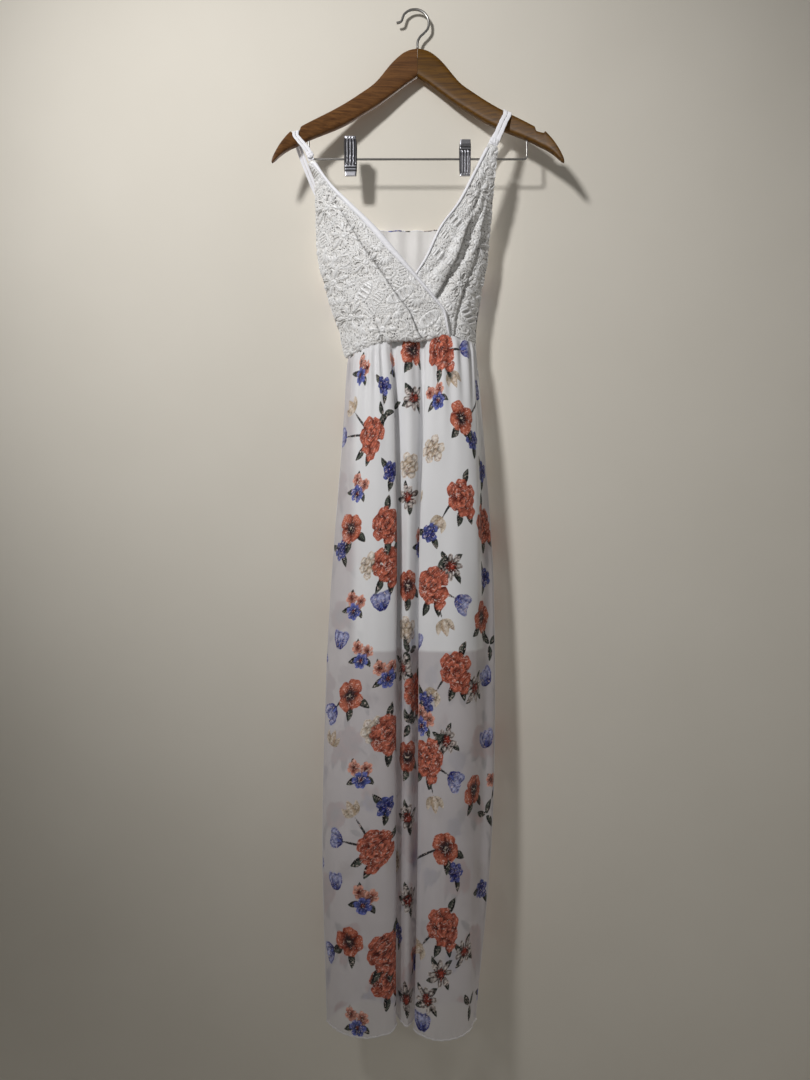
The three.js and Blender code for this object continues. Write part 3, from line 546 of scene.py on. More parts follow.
def patch(canvas, place, base, turn, length, width, ink, shape="petal", rim=0.3, bend=0.0,
          base_tone=0.1):
    """place is the motif's (across, down, turn, size); base is where the patch starts in the motif."""
    across, down, spin, size = place
    wide, tall = MOTIF_WIDTH * size, MOTIF_HEIGHT * size
    x0 = across + wide * (base[0] * math.cos(spin) - base[1] * math.sin(spin))
    y0 = down - tall * (base[0] * math.sin(spin) + base[1] * math.cos(spin))
    reach = (length + 6) * tall
    columns = slice(*np.searchsorted(canvas["s"], [x0 - reach, x0 + reach]))
    rows = slice(*np.searchsorted(canvas["t"], [y0 - reach, y0 + reach]))
    x = (canvas["s"][columns] - x0)[None] / wide
    y = -(canvas["t"][rows] - y0)[:, None] / tall
    c, s = math.cos(spin + turn), math.sin(spin + turn)
    a, b = x * c + y * s, y * c - x * s
    part = np.clip(a / length, 0, 1)
    b = b - bend * np.sin(math.pi * part)
    if shape == "leaf":
        half = width / 2 * np.sin(math.pi * part**0.8) ** 0.9
        distance = np.maximum(np.abs(b) - half, np.maximum(-a, a - length))
        tone = 0.04 + 0.42 * smooth(-0.5, 0.8, b) + 0.5 * bell(b, 0.7)
    else:
        half = width / 2 * (0.7 + 0.42 * part)
        round_about = np.arctan2(b, a - length / 2)
        ruffle = 1 + 0.06 * np.sin(5 * round_about + 7 * turn + x0)
        radius = np.hypot((a - length / 2) / (length / 2), b / half) / ruffle
        distance = (radius - 1) * min(length, width) / 2
        tone = base_tone + 0.5 * smooth(0.1, 1, part) + 0.14 * np.sin(b * 2.1 + turn * 3)
    tone = tone + rim * bell(distance + 1.2, 1.1) + 0.2 * canvas["speck"][rows, columns]
    tone = np.clip(tone, 0, 1)[..., None]
    colour = np.array(INKS[ink][0]) * (1 - tone) + np.array(INKS[ink][1]) * tone
    under = canvas["ink"][rows, columns]
    edge = canvas["edge"][rows, columns]
    shade = 0.62 * bell(np.maximum(distance, 0), 1.5) * (edge < 0)
    under *= 1 - shade[..., None]
    distance = distance * size
    take = (distance < 0) | ((distance < edge) & (edge > 0))
    under[take] = colour[take]
    np.minimum(edge, distance, out=edge)


def ring_of(canvas, place, count, ring, length, width, ink, phase=0.0, **look):
    for k in range(count):
        angle = phase + k * 2 * math.pi / count + 0.14 * float(jitter(k, place[0]))
        long = length * (1 + 0.12 * float(jitter(place[1], k)))
        base = (ring * math.cos(angle), ring * math.sin(angle))
        patch(canvas, place, base, angle, long, width, ink, **look)


def disc(canvas, place, width, ink, **look):
    patch(canvas, place, (-width / 2, 0), 0, width, width, ink, **look)


def leaves(canvas, place, angles, start=8, length=21, width=9):
    for angle in angles:
        base = (start * math.cos(angle), start * math.sin(angle))
        patch(canvas, place, base, angle, length, width, "leaf", shape="leaf", rim=-0.2, bend=1.5)


# %% Flowers
def peony(canvas, place):
    leaves(canvas, place, (1.0, 4.3, 4.9), start=20, length=23, width=11)
    patch(canvas, place, (5, -17), -0.95, 17, 19, "coral", rim=-0.3, base_tone=0.25)
    ring_of(canvas, place, 6, 8, 18, 22, "coral", 0.3, rim=-0.35, base_tone=0.25)
    ring_of(canvas, place, 4, 5, 15, 20, "coral", 0.8, rim=-0.35, base_tone=0.2)
    ring_of(canvas, place, 3, 2, 12, 15, "coral", 0.1, rim=0.4, base_tone=0.05)
    ring_of(canvas, place, 3, 0, 9, 8, "coral", 0.9, rim=0.5, base_tone=0)
    patch(canvas, place, (-3, -1), 0.4, 6, 4, "coral", rim=-0.3)


def poppy(canvas, place):
    leaves(canvas, place, (4.2, 5.3), start=13, length=22, width=11)
    ring_of(canvas, place, 4, 0.5, 21, 25, "salmon", 0.5, rim=-0.3, base_tone=0.15)
    ring_of(canvas, place, 11, 2, 8, 2.4, "night", shape="leaf")
    disc(canvas, place, 9, "night", rim=0)
    disc(canvas, place, 3, "beige", rim=0)


def daisy(canvas, place):
    leaves(canvas, place, (0.7, 2.1, 3.6, 5.2), start=8, length=18, width=8.5)
    ring_of(canvas, place, 8, 3, 15.5, 8, "cream", rim=-0.85, base_tone=0.55)
    ring_of(canvas, place, 9, 3.2, 5, 3, "seed", shape="leaf", rim=0)
    disc(canvas, place, 9.5, "seed", rim=-0.2, base_tone=0.4)


def tulip(canvas, place):
    patch(canvas, place, (2, -2), math.pi / 2 - 0.34, 27, 15, "sky", rim=-0.6, base_tone=0.35)
    patch(canvas, place, (-2, -2), math.pi / 2 + 0.34, 27, 15, "sky", rim=-0.6, base_tone=0.3)
    patch(canvas, place, (0, -2), math.pi / 2, 25, 14, "sky", rim=-0.6, base_tone=0.4)
    patch(canvas, place, (0, 0), math.pi / 2, 11, 5, "blue", shape="leaf")


def cornflower(canvas, place):
    leaves(canvas, place, (2.6, 4.9), start=7, length=21, width=9.5)
    ring_of(canvas, place, 6, 2, 12.5, 10.5, "blue", rim=-0.35, base_tone=0.25)
    ring_of(canvas, place, 5, 1, 7, 6, "sky", 0.5, rim=-0.5)
    disc(canvas, place, 4, "blue", rim=0)


def little_flower(canvas, place, ink, at, size=1.0):
    spin = place[2]
    s = place[0] + at[0] * math.cos(spin) - at[1] * math.sin(spin)
    t = place[1] - at[0] * math.sin(spin) - at[1] * math.cos(spin)
    here = (s, t, spin + at[0], place[3] * size)
    ring_of(canvas, here, 6, 1.5, 8.6, 7.6, ink, rim=0.4, base_tone=0.08)
    disc(canvas, here, 4.8, "seed", rim=-0.3)


def sprig(canvas, place):
    leaves(canvas, place, (2.0, 3.7, 5.6), start=7, length=18, width=8.5)
    little_flower(canvas, place, "pink", (-8, 10))
    little_flower(canvas, place, "pink", (9, 7), 0.95)
    little_flower(canvas, place, "blue", (1, -9), 1.2)


def bud(canvas, place):
    patch(canvas, place, (1, 0), math.pi / 2 - 0.6, 22, 10, "beige", shape="leaf", bend=-2)
    patch(canvas, place, (-1, 0), math.pi / 2 + 0.6, 22, 10, "beige", shape="leaf", bend=2)
    patch(canvas, place, (0, -1), math.pi / 2, 25, 12, "pale", shape="leaf", rim=-0.4)


def leaf_spray(canvas, place):
    leaves(canvas, place, (0.8, 2.4, 4.9), start=1, length=22, width=9)


def pale_flower(canvas, place):
    ring_of(canvas, place, 6, 5, 14, 14, "pale", rim=-0.7, base_tone=0.5)
    ring_of(canvas, place, 5, 2, 9, 9, "pale", 0.5, rim=-0.8, base_tone=0.4)
    disc(canvas, place, 4, "beige")


MOTIFS = {  # in the order in which they are laid down
    "pale": pale_flower, "leaf": leaf_spray, "bud": bud, "tulip": tulip, "blue": cornflower,
    "sprig": sprig, "daisy": daisy, "poppy": poppy, "peony": peony,
}
print("motifs:", ", ".join(MOTIFS))

# %% [markdown]
# The places of the front's motifs are listed as distances across and down the flat panel. A
# plain repeat of two staggered columns fills the back and whatever is further than a motif's width from
# a listed place. Buds and tulips near a large flower hang on a stem from it.

# %% Layout
FRONT_PRINT = {
    "pale": [(87, 331), (97, 575), (193, 187), (192, 434), (276, 168)],
    "bud": [(45, 92), (28, 597), (71, 700), (306, 55), (294, 270), (297, 418), (288, 522), (284, 675),
            (269, 897)],
    "leaf": [(108, 112), (196, 468), (196, 575), (390, 458), (350, 990), (387, 716)],
    "tulip": [(29, 128), (39, 448), (52, 739), (41, 813), (326, 15), (316, 386), (308, 643), (386, 518),
              (386, 613), (271, 1021), (36, 540), (33, 907)],
    "blue": [(111, 66), (34, 300), (112, 690), (344, 150), (275, 290), (320, 783), (271, 540),
             (380, 356)],
    "sprig": [(59, 32), (63, 211), (63, 387), (76, 462), (112, 494), (78, 638), (84, 824), (72, 1007),
              (280, 89), (266, 567)],
    "daisy": [(201, 85), (192, 235), (185, 493), (195, 717), (197, 841), (308, 340), (303, 593),
              (351, 518), (338, 905), (278, 974)],
    "poppy": [(52, 270), (61, 521), (63, 888), (201, 14), (194, 368), (194, 626), (323, 120), (303, 748),
              (354, 669), (369, 415)],
    "peony": [(84, 136), (114, 333), (114, 585), (100, 749), (114, 950), (288, 22), (323, 236),
              (281, 368), (316, 490), (274, 620), (301, 863)],
}
REPEAT_WIDTH = 262
REPEAT_TALL = 316
CLEAR_OF_LISTED = 44
STEM_REACH = 62
REPEAT = [  # kind, place across and down one repeat
    ("peony", 60, 40), ("bud", 26, 66), ("tulip", 98, 70), ("sprig", 20, 132), ("poppy", 78, 150),
    ("blue", 112, 184), ("leaf", 36, 196), ("pale", 62, 246), ("peony", 104, 262), ("daisy", 28, 288),
    ("daisy", 186, 30), ("leaf", 150, 88), ("poppy", 206, 104), ("tulip", 244, 134), ("pale", 152, 150),
    ("peony", 204, 202), ("bud", 238, 232), ("blue", 166, 256), ("sprig", 214, 292), ("sprig", 136, 24),
]


def print_cloth(s, t, listed, shift):
    canvas = new_canvas(s, t)
    taken = [place for places in listed.values() for place in places]
    places = [(kind, place) for kind in listed for place in listed[kind]]
    for row in range(-1, 5):
        for column in range(-1, 3):
            for kind, across, down in REPEAT:
                x = across + REPEAT_WIDTH * column + shift[0]
                y = down + REPEAT_TALL * row + shift[1]
                place = (x, y)
                if all(math.hypot(x - a, y - b) > CLEAR_OF_LISTED for a, b in taken):
                    places.append((kind, place))
    big = [place for kind, place in places if kind in ("peony", "poppy")]
    for kind in MOTIFS:
        for across, down in [place for name, place in places if name == kind]:
            turn = 0.6 * float(jitter(across, down))
            size = 1 + 0.05 * float(jitter(down, across))
            near = min(big, key=lambda flower: math.hypot(flower[0] - across, flower[1] - down))
            gap = math.hypot(near[0] - across, near[1] - down)
            if kind in ("bud", "tulip") and gap < STEM_REACH:
                away = math.atan2(near[1] - down, across - near[0])
                turn = away - math.pi / 2
                stem = (across, down, away, 1)
                patch(canvas, stem, (1, 0), math.pi, gap, 3.4, "stem", shape="leaf", bend=2)
            MOTIFS[kind](canvas, (across, down, turn, size))
    print(len(places), "motifs on this panel")
    return canvas


front_print = print_cloth(front_s, cloth_t, FRONT_PRINT, (8, 12))
back_print = print_cloth(back_s, cloth_t, {}, (-30, -60))

# %% [markdown]
# Chiffon is a thin crepe that lets some light straight through, and a Principled shader with a lowered
# alpha does this. Light that has spread between two layers is lost in such a simple sheet, so the cloth
# that lies on the white slip is painted a little whiter, a painted brightening for the light the slip
# throws back, and made closer, and a level line shows where the slip ends. Ink is closer than bare cloth.
# It is broken into darker and lighter flecks, as a print made of fine strokes looks from a step away.

# %% Chiffon
CHIFFON_WHITE = linear(250, 250, 252)
SLIP_END = -975


def chiffon_finish(name, cover, backed_cover):
    material, tree, shader = surface(name, 0.78, Sheen_Weight=0.1, Specular_IOR_Level=0.25)
    ink = field(tree, "ink", "Color")
    backed = field(tree, "backed")
    flat = weave(tree, shader, 0.0009, 0.25, 0.0001)
    crepe = noise(tree, flat, 900, 1)
    bleed = maths(tree, "ADD", field(tree, "edge"), span(tree, crepe, 0.3, 0.7, -0.3, 0.3))
    printed = span(tree, bleed, -0.3, 0.3, 1, 0)
    strokes = noise(tree, flat, 170, 3, 2.2)
    dark_ink = blend_colour(tree, 1.0, ink, (0.6, 0.5, 0.52), "MULTIPLY")
    ink = blend_colour(tree, span(tree, strokes, 0.34, 0.44, 1, 0), ink, dark_ink)
    ink = blend_colour(tree, span(tree, strokes, 0.57, 0.7, 0, 0.7), ink, linear(250, 228, 220))
    slub = noise(tree, flat, 26, 2)
    thin = blend_colour(tree, slub, linear(229, 224, 228), linear(222, 218, 221))
    # Over the slip the cloth is painted whiter: painted light that the white slip throws back through it.
    white = blend_colour(tree, backed, thin, CHIFFON_WHITE)
    paint(tree, shader, blend_colour(tree, printed, white, ink))
    cloth = span(tree, backed, 0, 1, cover, backed_cover)
    still_open = maths(tree, "SUBTRACT", 1, cloth)
    closed_by_ink = maths(tree, "MULTIPLY", still_open, maths(tree, "MULTIPLY", printed, 0.9))
    tree.links.new(maths(tree, "ADD", cloth, closed_by_ink), shader.inputs["Alpha"])
    return material


def over_slip(points):
    """1 where the slip hangs close behind, 0 below its hem and past its sides."""
    x, z = points[..., 0], points[..., 2]
    return smooth(SLIP_END - 3, SLIP_END + 2, z) * smooth(-100, -84, x) * smooth(108, 98, x)


def chiffon_piece(name, points, s, canvas):
    fields = {"ink": canvas["ink"], "edge": canvas["edge"], "backed": over_slip(points)}
    flat = pairs(s[None], -cloth_t[:, None])
    return make_piece(name, points, grid_faces(*points.shape[:2], -1), chiffon, flat, fields)


chiffon = chiffon_finish("chiffon", 0.68, 0.82)
skirt_front = chiffon_piece("chiffon_front", front_points, front_s, front_print)
skirt_back = chiffon_piece("chiffon_back", back_points, back_s, back_print)
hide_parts("skirt_front")
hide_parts("skirt_back")

# %% [markdown]
# A rolled hem is chiffon turned twice and stitched, so it is whiter and thicker than the sheet and
# puckers along its length. Side seams are narrow strips where two layers and their turnings lie over
# each other.

# %% Hem and seams
def plain_cloth(name, colour, roughness, pitch, strength, **sockets):
    material, tree, shader = surface(name, roughness, **sockets)
    flat = weave(tree, shader, pitch, strength, 0.00012)
    cloud = span(tree, noise(tree, flat, 14, 3), 0.3, 0.7)
    paint(tree, shader, blend_colour(tree, cloud, colour, darker(colour, 0.9)))
    return material


HEM_RADIUS = 1.25
SEAM_RADIUS = 0.8

rolled_white = plain_cloth("rolled_hem", linear(232, 229, 229), 0.8, 0.0012, 0.4, Specular_IOR_Level=0.25)
hem_lift = np.array([0, 0, 1.0])
front_hem = rolled_edge("hem_front", front_points[-1] + hem_lift, HEM_RADIUS, rolled_white)
back_hem = rolled_edge("hem_back", back_points[-1] + hem_lift, HEM_RADIUS, rolled_white)
left_seam = rolled_edge("seam_left", front_points[::3, 0], SEAM_RADIUS, rolled_white, 6)
right_seam = rolled_edge("seam_right", front_points[::3, -1], SEAM_RADIUS, rolled_white, 6)

# %% [markdown]
# Under the chiffon hangs a short white slip. It is a plain tube that keeps clear of the creases, and
# its hem is turned up once and stitched.

# %% Slip
SLIP_HEM = np.array([
    [-78, 0], [-72, -18], [-60, -34], [-50, -30], [-44, -20], [-36, -6], [-30, -5], [-20, -5], [-10, -4],
    [0, -4], [9, -4], [18, -4], [28, -20], [46, -40], [68, -38], [84, -28], [92, -16], [96, 0], [84, 16],
    [58, 26], [32, 11], [3, 24], [-28, 11], [-52, 25], [-68, 16],
], float)
SLIP_PER_FOLD = 22
SLIP_TALL = 455
SLIP_INSIDE = 1.1


def slip_panel(first, last, count, phase):
    folds = np.linspace(first, last, count)
    drop = np.linspace(0.002, 1, 150)[:, None]
    grid = on_skirt(folds, np.linspace(0, 0.01, 3))
    top = grid[0] - outward(grid, -1)[0] * SLIP_INSIDE
    hem = spline(SLIP_HEM, folds, closed=True)
    share = drop**0.55
    x = mix(top[None, :, 0], hem[None, :, 0], share)
    y = mix(top[None, :, 1], hem[None, :, 1], share)
    z = mix(top[None, :, 2], SLIP_END, drop) + 0 * x
    points = np.stack([x, y, z], -1)
    across = np.linspace(0, abs(last - first) * SLIP_PER_FOLD, count)[None]
    push = 0.6 * np.sin(across / 6 + phase) * bell(drop, 0.25) + 0.5 * smooth(0.955, 0.96, drop)
    points += outward(points, -1) * push[..., None]
    return points, pairs(across, -drop * SLIP_TALL)


slip_white = plain_cloth("slip_lining", linear(238, 237, 238), 0.6, 0.0008, 0.2, Specular_IOR_Level=0.3)
for name, first, last, count in (("front", 0.01, 16.99, 240), ("back", 17.01, 24.99, 150)):
    points, flat = slip_panel(first, last, count, first)
    faces = grid_faces(*points.shape[:2], -1)
    piece = make_piece("slip_lining_" + name, points, faces, slip_white, flat)
    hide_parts("slip_" + name)

# %% [markdown]
# The bodice is a wrap: the left front laps over the right one. A panel is ruled between its outer edge,
# which is the armhole and then the side seam, and its neck edge. It swells forward, carries long soft
# creases from the strap to the waist, and in places laps over itself in a narrow step, which is the
# dark line that runs down each side.

# %% Bodice panels
LEFT_PANEL = {
    "outer": [(-158.5, -36, -250.5), (-150, -31, -267), (-149, -20, -305), (-149, -8, -345),
              (-146, -5, -387), (-138, -4, -417), (-127, -3, -458), (-115, -2, -488), (-101, -0.4, -531)],
    "neck": [(-149.5, -38, -247.5), (-126, -45, -285), (-92, -51, -319), (-55, -54, -356),
             (-28, -55, -388), (-3, -55, -417), (28, -54, -453), (45, -51, -474), (54, -43, -506)],
    "creases": [(0.5, 0.74, 0.16, 1.1, 0.07, 5), (0.7, 0.86, 0.2, 0.9, 0.09, -2.5),
                (0.3, 0.4, 0.5, 1.1, 0.08, 2.5)],
    "laps": [  # (place across, place down) along the lap, height, how far it fades, the raised side
        ([(0.46, 0.2), (0.49, 0.27), (0.53, 0.31), (0.57, 0.4), (0.62, 0.53), (0.64, 0.75), (0.66, 0.88),
          (0.74, 1)], 4, 15, -1),
        ([(0.22, 0.42), (0.25, 0.6), (0.32, 0.8), (0.36, 1)], 1.6, 10, -1),
    ],
    "tuck": 6,
    "turn": -1,
}
RIGHT_PANEL = {
    "outer": [(123, -35, -228), (118, -31, -267), (115, -20, -310), (112.5, -8, -345), (109, -5, -390),
              (104, -4, -415), (98, -3, -445), (92, -2, -477), (92, -0.4, -512)],
    "neck": [(108.5, -37, -222), (85, -42, -270), (63, -43, -312), (36, -43, -349), (14, -42, -395),
             (-1, -41, -419), (-12, -40, -450), (-18, -39, -480), (-22, -37, -514)],
    "creases": [(0.4, 0.8, 0.12, 0.66, 0.08, 5), (0.25, 0.62, 0.2, 0.86, 0.07, 6),
                (0.5, 0.7, 0.16, 0.7, 0.08, -4), (0.2, 0.3, 0.4, 1, 0.07, 4)],
    "laps": [
        ([(0.46, 0.28), (0.5, 0.38), (0.51, 0.45), (0.54, 0.53), (0.56, 0.65), (0.63, 0.76),
          (0.66, 0.82)], 3.4, 12, 1),
        ([(0.2, 0.2), (0.22, 0.4), (0.26, 0.6), (0.3, 0.8), (0.34, 1)], 1.8, 9, 1),
    ],
    "tuck": 0,
    "turn": 1,
}


def from_lap(lap, u, v, reach):
    """Distance from a lap's line, above 0 on its raised side, and how far the lap has opened there."""
    places, _, _, side = lap
    across, below = np.array(places).T
    away = side * (u - np.interp(v, below, across)) * reach * 0.85
    ends = smooth(below[0], below[0] + 0.12, v)
    if below[-1] < 1:
        ends = ends * smooth(below[-1] + 0.01, below[-1] - 0.1, v)
    return away, ends


def on_panel(panel, u, v):
    """u runs from the outer edge to the neck edge and v from the strap to the waist; each is a grid."""
    down = np.clip(v, 0, 1)
    outer = spline(panel["outer"], down * 8)
    neck = spline(panel["neck"], down * 8)
    point = mix(outer, neck, u[..., None])
    fullness = mix(2.4, 5.5, down**2)
    swell = 1 - np.clip(1 - u, 0, 1) ** fullness
    point[..., 1] = mix(outer[..., 1], neck[..., 1], swell)
    for u_top, u_bottom, v_top, v_bottom, width, depth in panel["creases"]:
        along = (down - v_top) / (v_bottom - v_top)
        strength = smooth(-0.05, 0.25, along) * (1 - smooth(0.75, 1.05, along))
        point[..., 1] += depth * strength * bell(u - mix(u_top, u_bottom, along), width)
    reach = np.linalg.norm(neck - outer, axis=-1)
    for lap in panel["laps"]:
        _, height, fade, side = lap
        away, ends = from_lap(lap, u, down, reach)
        lift = np.where(away > 0, np.exp(-away / fade), smooth(-1.3, 0, away))
        point[..., 1] -= height * ends * (lift - 0.45 * bell(away + 2.4, 2.2))
        over = smooth(-1.3, 0.3, away) * np.exp(-np.maximum(away, 0) / 5)
        point[..., 0] -= side * np.sign(neck - outer)[..., 0] * 2.4 * ends * over
    point[..., 1] += panel["tuck"] * smooth(0.5, 0.88, down) * smooth(0.5, 1, u)
    seam = front_seam(point[..., 0]) + 0.7
    point[..., 2] = mix(point[..., 2], seam, smooth(0.86, 1, down))
    return point


def panel_grid(panel, columns, rows):
    v, u = np.meshgrid(np.linspace(0, 1, rows), np.linspace(0, 1, columns), indexing="ij")
    points = on_panel(panel, u, v)
    width = np.linalg.norm(points[:, -1] - points[:, 0], axis=1)[:, None]
    return points, pairs(u * width, -v * 300), u, v


lining_white = plain_cloth("bodice_lining", linear(236, 234, 232), 0.65, 0.0009, 0.25,
                           Specular_IOR_Level=0.3)
LINING_LIFT = 0.6
for side, panel, cut in (("left", LEFT_PANEL, (0.17, 0.31)), ("right", RIGHT_PANEL, (0.13, 0.31))):
    points, flat, u, v = panel_grid(panel, 90, 150)
    points += outward(points, panel["turn"]) * LINING_LIFT
    faces = grid_faces(*u.shape, panel["turn"])
    piece = make_piece("lining_" + side, points, faces, lining_white, flat)
    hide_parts("front_lining_" + side)

# %% [markdown]
# Corded lace is a net ground with flowers and leaves outlined in raised thread. It could be bump on a
# plain sheet, but lit from the side the real thing throws small shadows, so the threads are raised in
# the mesh itself and the largest gaps are left open over the lining.
#
# The ground is a net of uneven cells, and vines wander over it. Large six-petalled flowers and barred
# leaves stand at the places of the solid's cut gaps, and small flowers fill in between. The shade in a
# lap's fold is painted on the lace as a thin dark line, as narrow as the fold.

# %% Lace pattern
# Each place is across and up, with a turn. A leaf also has its number of bars.
LEFT_FLOWERS = [(-104, -362, 0.2), (-122, -424, 0.7), (-72, -404, 0.1), (-48, -500, 0.5),
                (-96, -478, 0.4), (-130, -318, 0.3)]
LEFT_LEAVES = [(-22, -452, 0.5, 4), (20, -486, 0.7, 3), (-76, -447, 0.9, 3)]
RIGHT_FLOWERS = [(92, -298, 0.3), (92, -366, 0.6), (66, -430, 0.1)]
RIGHT_LEAVES = [(60, -340, 2.4, 3), (40, -392, 2.5, 3), (80, -474, 2.2, 3)]
NET_PITCH = 3.3
NO_GAP = 9.0
MOTIF_SIZE = 1.22
MOTIF_REACH = 15


def net_cells(x, z):
    """Distance to the border between uneven cells."""
    column, row = np.floor(x / NET_PITCH), np.floor(z / NET_PITCH)
    nearest = np.full(x.shape, 1e9)
    second = nearest.copy()
    for i in (-1, 0, 1):
        for j in (-1, 0, 1):
            a, b = column + i, row + j
            px = (a + 0.5 + 0.36 * jitter(a, b, 1)) * NET_PITCH
            pz = (b + 0.5 + 0.36 * jitter(a, b, 2)) * NET_PITCH
            distance = np.hypot(x - px, z - pz)
            second = np.minimum(second, np.maximum(nearest, distance))
            nearest = np.minimum(nearest, distance)
    return (second - nearest) / 2


def turned(dx, dz, angle):
    return dx * math.cos(angle) + dz * math.sin(angle), dz * math.cos(angle) - dx * math.sin(angle)


def ring_lobe(dx, dz, spin):
    """A round lobe filled with net inside a thick cord."""
    radius = np.hypot(dx, dz * 1.15)
    radius = radius * (1 + 0.07 * np.sin(5 * np.arctan2(dz, dx) + spin))
    cord = bell(radius - 6.6, 0.95) + 0.5 * bell(radius - 1.5, 1.1)
    cells = 0.5 + 0.5 * np.sin(dx * 2.9) * np.sin(dz * 2.9)
    return radius < 7.8, 0.1 + 0.72 * cord + 0.16 * cells, 0.15 + 0.75 * cord + 0.4 * cells


def fan_flower(dx, dz, spin):
    """Seven satin petals that spread from one side."""
    relief = np.full(dx.shape, 0.1)
    inside = np.zeros(dx.shape, bool)
    for k in range(7):
        along, across = turned(dx, dz, spin + (k - 3) * 0.55)
        edge = (1 - np.hypot((along - 5.4) / 5.2, across / (1.3 + 0.11 * along))) * 1.7
        relief = np.maximum(relief, smooth(-0.3, 1.1, edge))
        inside |= edge > -0.6
    return inside, 0.95 * relief, 0.35 + 0.75 * relief


def comb_leaf(dx, dz, spin):
    """A leaf of parallel satin bars inside a cord."""
    along, across = turned(dx, dz, spin)
    edge = (1 - np.hypot(along / 9.6, across / 6.2)) * 6.2
    bars = 0.5 + 0.5 * np.cos(2 * math.pi * along / 3.3)
    relief = np.maximum(0.85 * bars * smooth(0.6, 1.6, edge), 0.8 * bell(edge - 0.7, 0.8))
    return edge > -0.3, relief, 0.25 + 0.85 * relief


def lay(cloth, inside, relief, thread, hole=None):
    """Inside its outline a motif replaces what lies there, and a hole in it opens a gap."""
    cloth["relief"] = np.where(inside, relief, cloth["relief"])
    cloth["thread"] = np.where(inside, thread, cloth["thread"])
    if hole is not None:
        cloth["gap"] = np.where(inside, np.minimum(cloth["gap"], hole), cloth["gap"])


def small_motifs(cloth, x, z, keep_clear):
    kinds = (ring_lobe, fan_flower, fan_flower, comb_leaf, fan_flower)
    for i in range(-10, 8):
        for j in range(-30, -8):
            cx = 18.5 * i + 9.2 * (j % 2) + 2.6 * float(jitter(i, j, 3))
            cz = 19.0 * j + 2.6 * float(jitter(i, j, 4))
            if any(math.hypot(cx - a, cz - b) < clear for a, b, clear in keep_clear):
                continue
            near = (np.abs(x - cx) < MOTIF_REACH) & (np.abs(z - cz) < MOTIF_REACH)
            if not near.any():
                continue
            kind = kinds[(3 * i + 2 * j) % 5]
            dx, dz = (x[near] - cx) / MOTIF_SIZE, (z[near] - cz) / MOTIF_SIZE
            inside, height, cover = kind(dx, dz, 3 * float(jitter(i, j, 5)))
            cloth["relief"][near] = np.where(inside, height, cloth["relief"][near])
            cloth["thread"][near] = np.where(inside, cover, cloth["thread"][near])


def barred_leaf(cloth, x, z, leaf):
    a, b, turn, bars = leaf
    along, across = turned(x - a, z - b, turn)
    half = bars * 3.5 + 9
    edge = (1 - np.hypot(along / half, across / 9.5)) * 9.5
    hole = np.full(x.shape, NO_GAP)
    for k in range(bars):
        place = along - (k - (bars - 1) / 2) * 7
        hole = np.minimum(hole, (np.hypot(place / 2.1, across / 5.4) - 1) * 2.1)
    ridges = 0.75 + 0.25 * np.cos(along * 1.8)
    body = 0.9 * smooth(0, 1.3, edge) * smooth(-0.2, 1.1, hole) * ridges
    lay(cloth, edge > -1, body, smooth(-1, 0.5, edge), hole)


def large_flower(cloth, x, z, flower):
    """Six satin tongues lie under six petals with open middles, round a button."""
    a, b, turn = flower
    dx, dz = x - a, z - b
    for k in range(6):
        along, across = turned(dx, dz, turn + (k + 0.5) * math.pi / 3)
        long = 9.2 + 2.2 * float(jitter(a, k))
        edge = (1 - np.hypot((along - 3.5 - long) / long, across / (1.3 + 0.13 * along))) * 3
        satin = smooth(-0.3, 1.3, edge)
        lay(cloth, edge > -0.7, 1.05 * satin, 1.1 * satin)
    for k in range(6):
        along, across = turned(dx, dz, turn + k * math.pi / 3)
        along = along - 12.5
        edge = (1 - np.hypot(along / 8.2, across / (4.1 + 0.1 * along))) * 4
        hole = (np.hypot(along / 4.8, across / 2.2) - 1) * 2.2
        body = smooth(-0.1, 1.0, edge) * smooth(-0.2, 1.0, hole)
        lay(cloth, edge > -0.5, 0.75 * body, body, hole)
    radius = np.hypot(dx, dz)
    button = smooth(-0.3, 1.3, 4.4 - radius) * (1 - 0.6 * bell(radius, 1.3))
    lay(cloth, radius < 4.6, button, 1.0)


def lace_pattern(x, z, flowers, leaves):
    """Relief from 0 to 1, thread cover from 0 to 1, and the signed distance to the open gaps."""
    ground = net_cells(x, z)
    vine = np.abs((z - 0.55 * x) % 26 - 13 - 4.5 * np.sin((x + 0.5 * z) / 6.5)) * 0.85
    cloth = {
        "relief": np.maximum(0.4 * smooth(1.1, 0.2, ground), 0.65 * bell(vine, 1.0)),
        "thread": np.maximum(0.9 * smooth(0.85, 0.25, ground), bell(vine, 1.2)),
        "gap": np.full(x.shape, NO_GAP),
    }
    keep_clear = [(a, b, 24) for a, b, _ in flowers] + [(a, b, 17) for a, b, *_ in leaves]
    small_motifs(cloth, x, z, keep_clear)
    for leaf in leaves:
        barred_leaf(cloth, x, z, leaf)
    for flower in flowers:
        large_flower(cloth, x, z, flower)
    return cloth["relief"], np.clip(cloth["thread"], 0, 1), cloth["gap"]


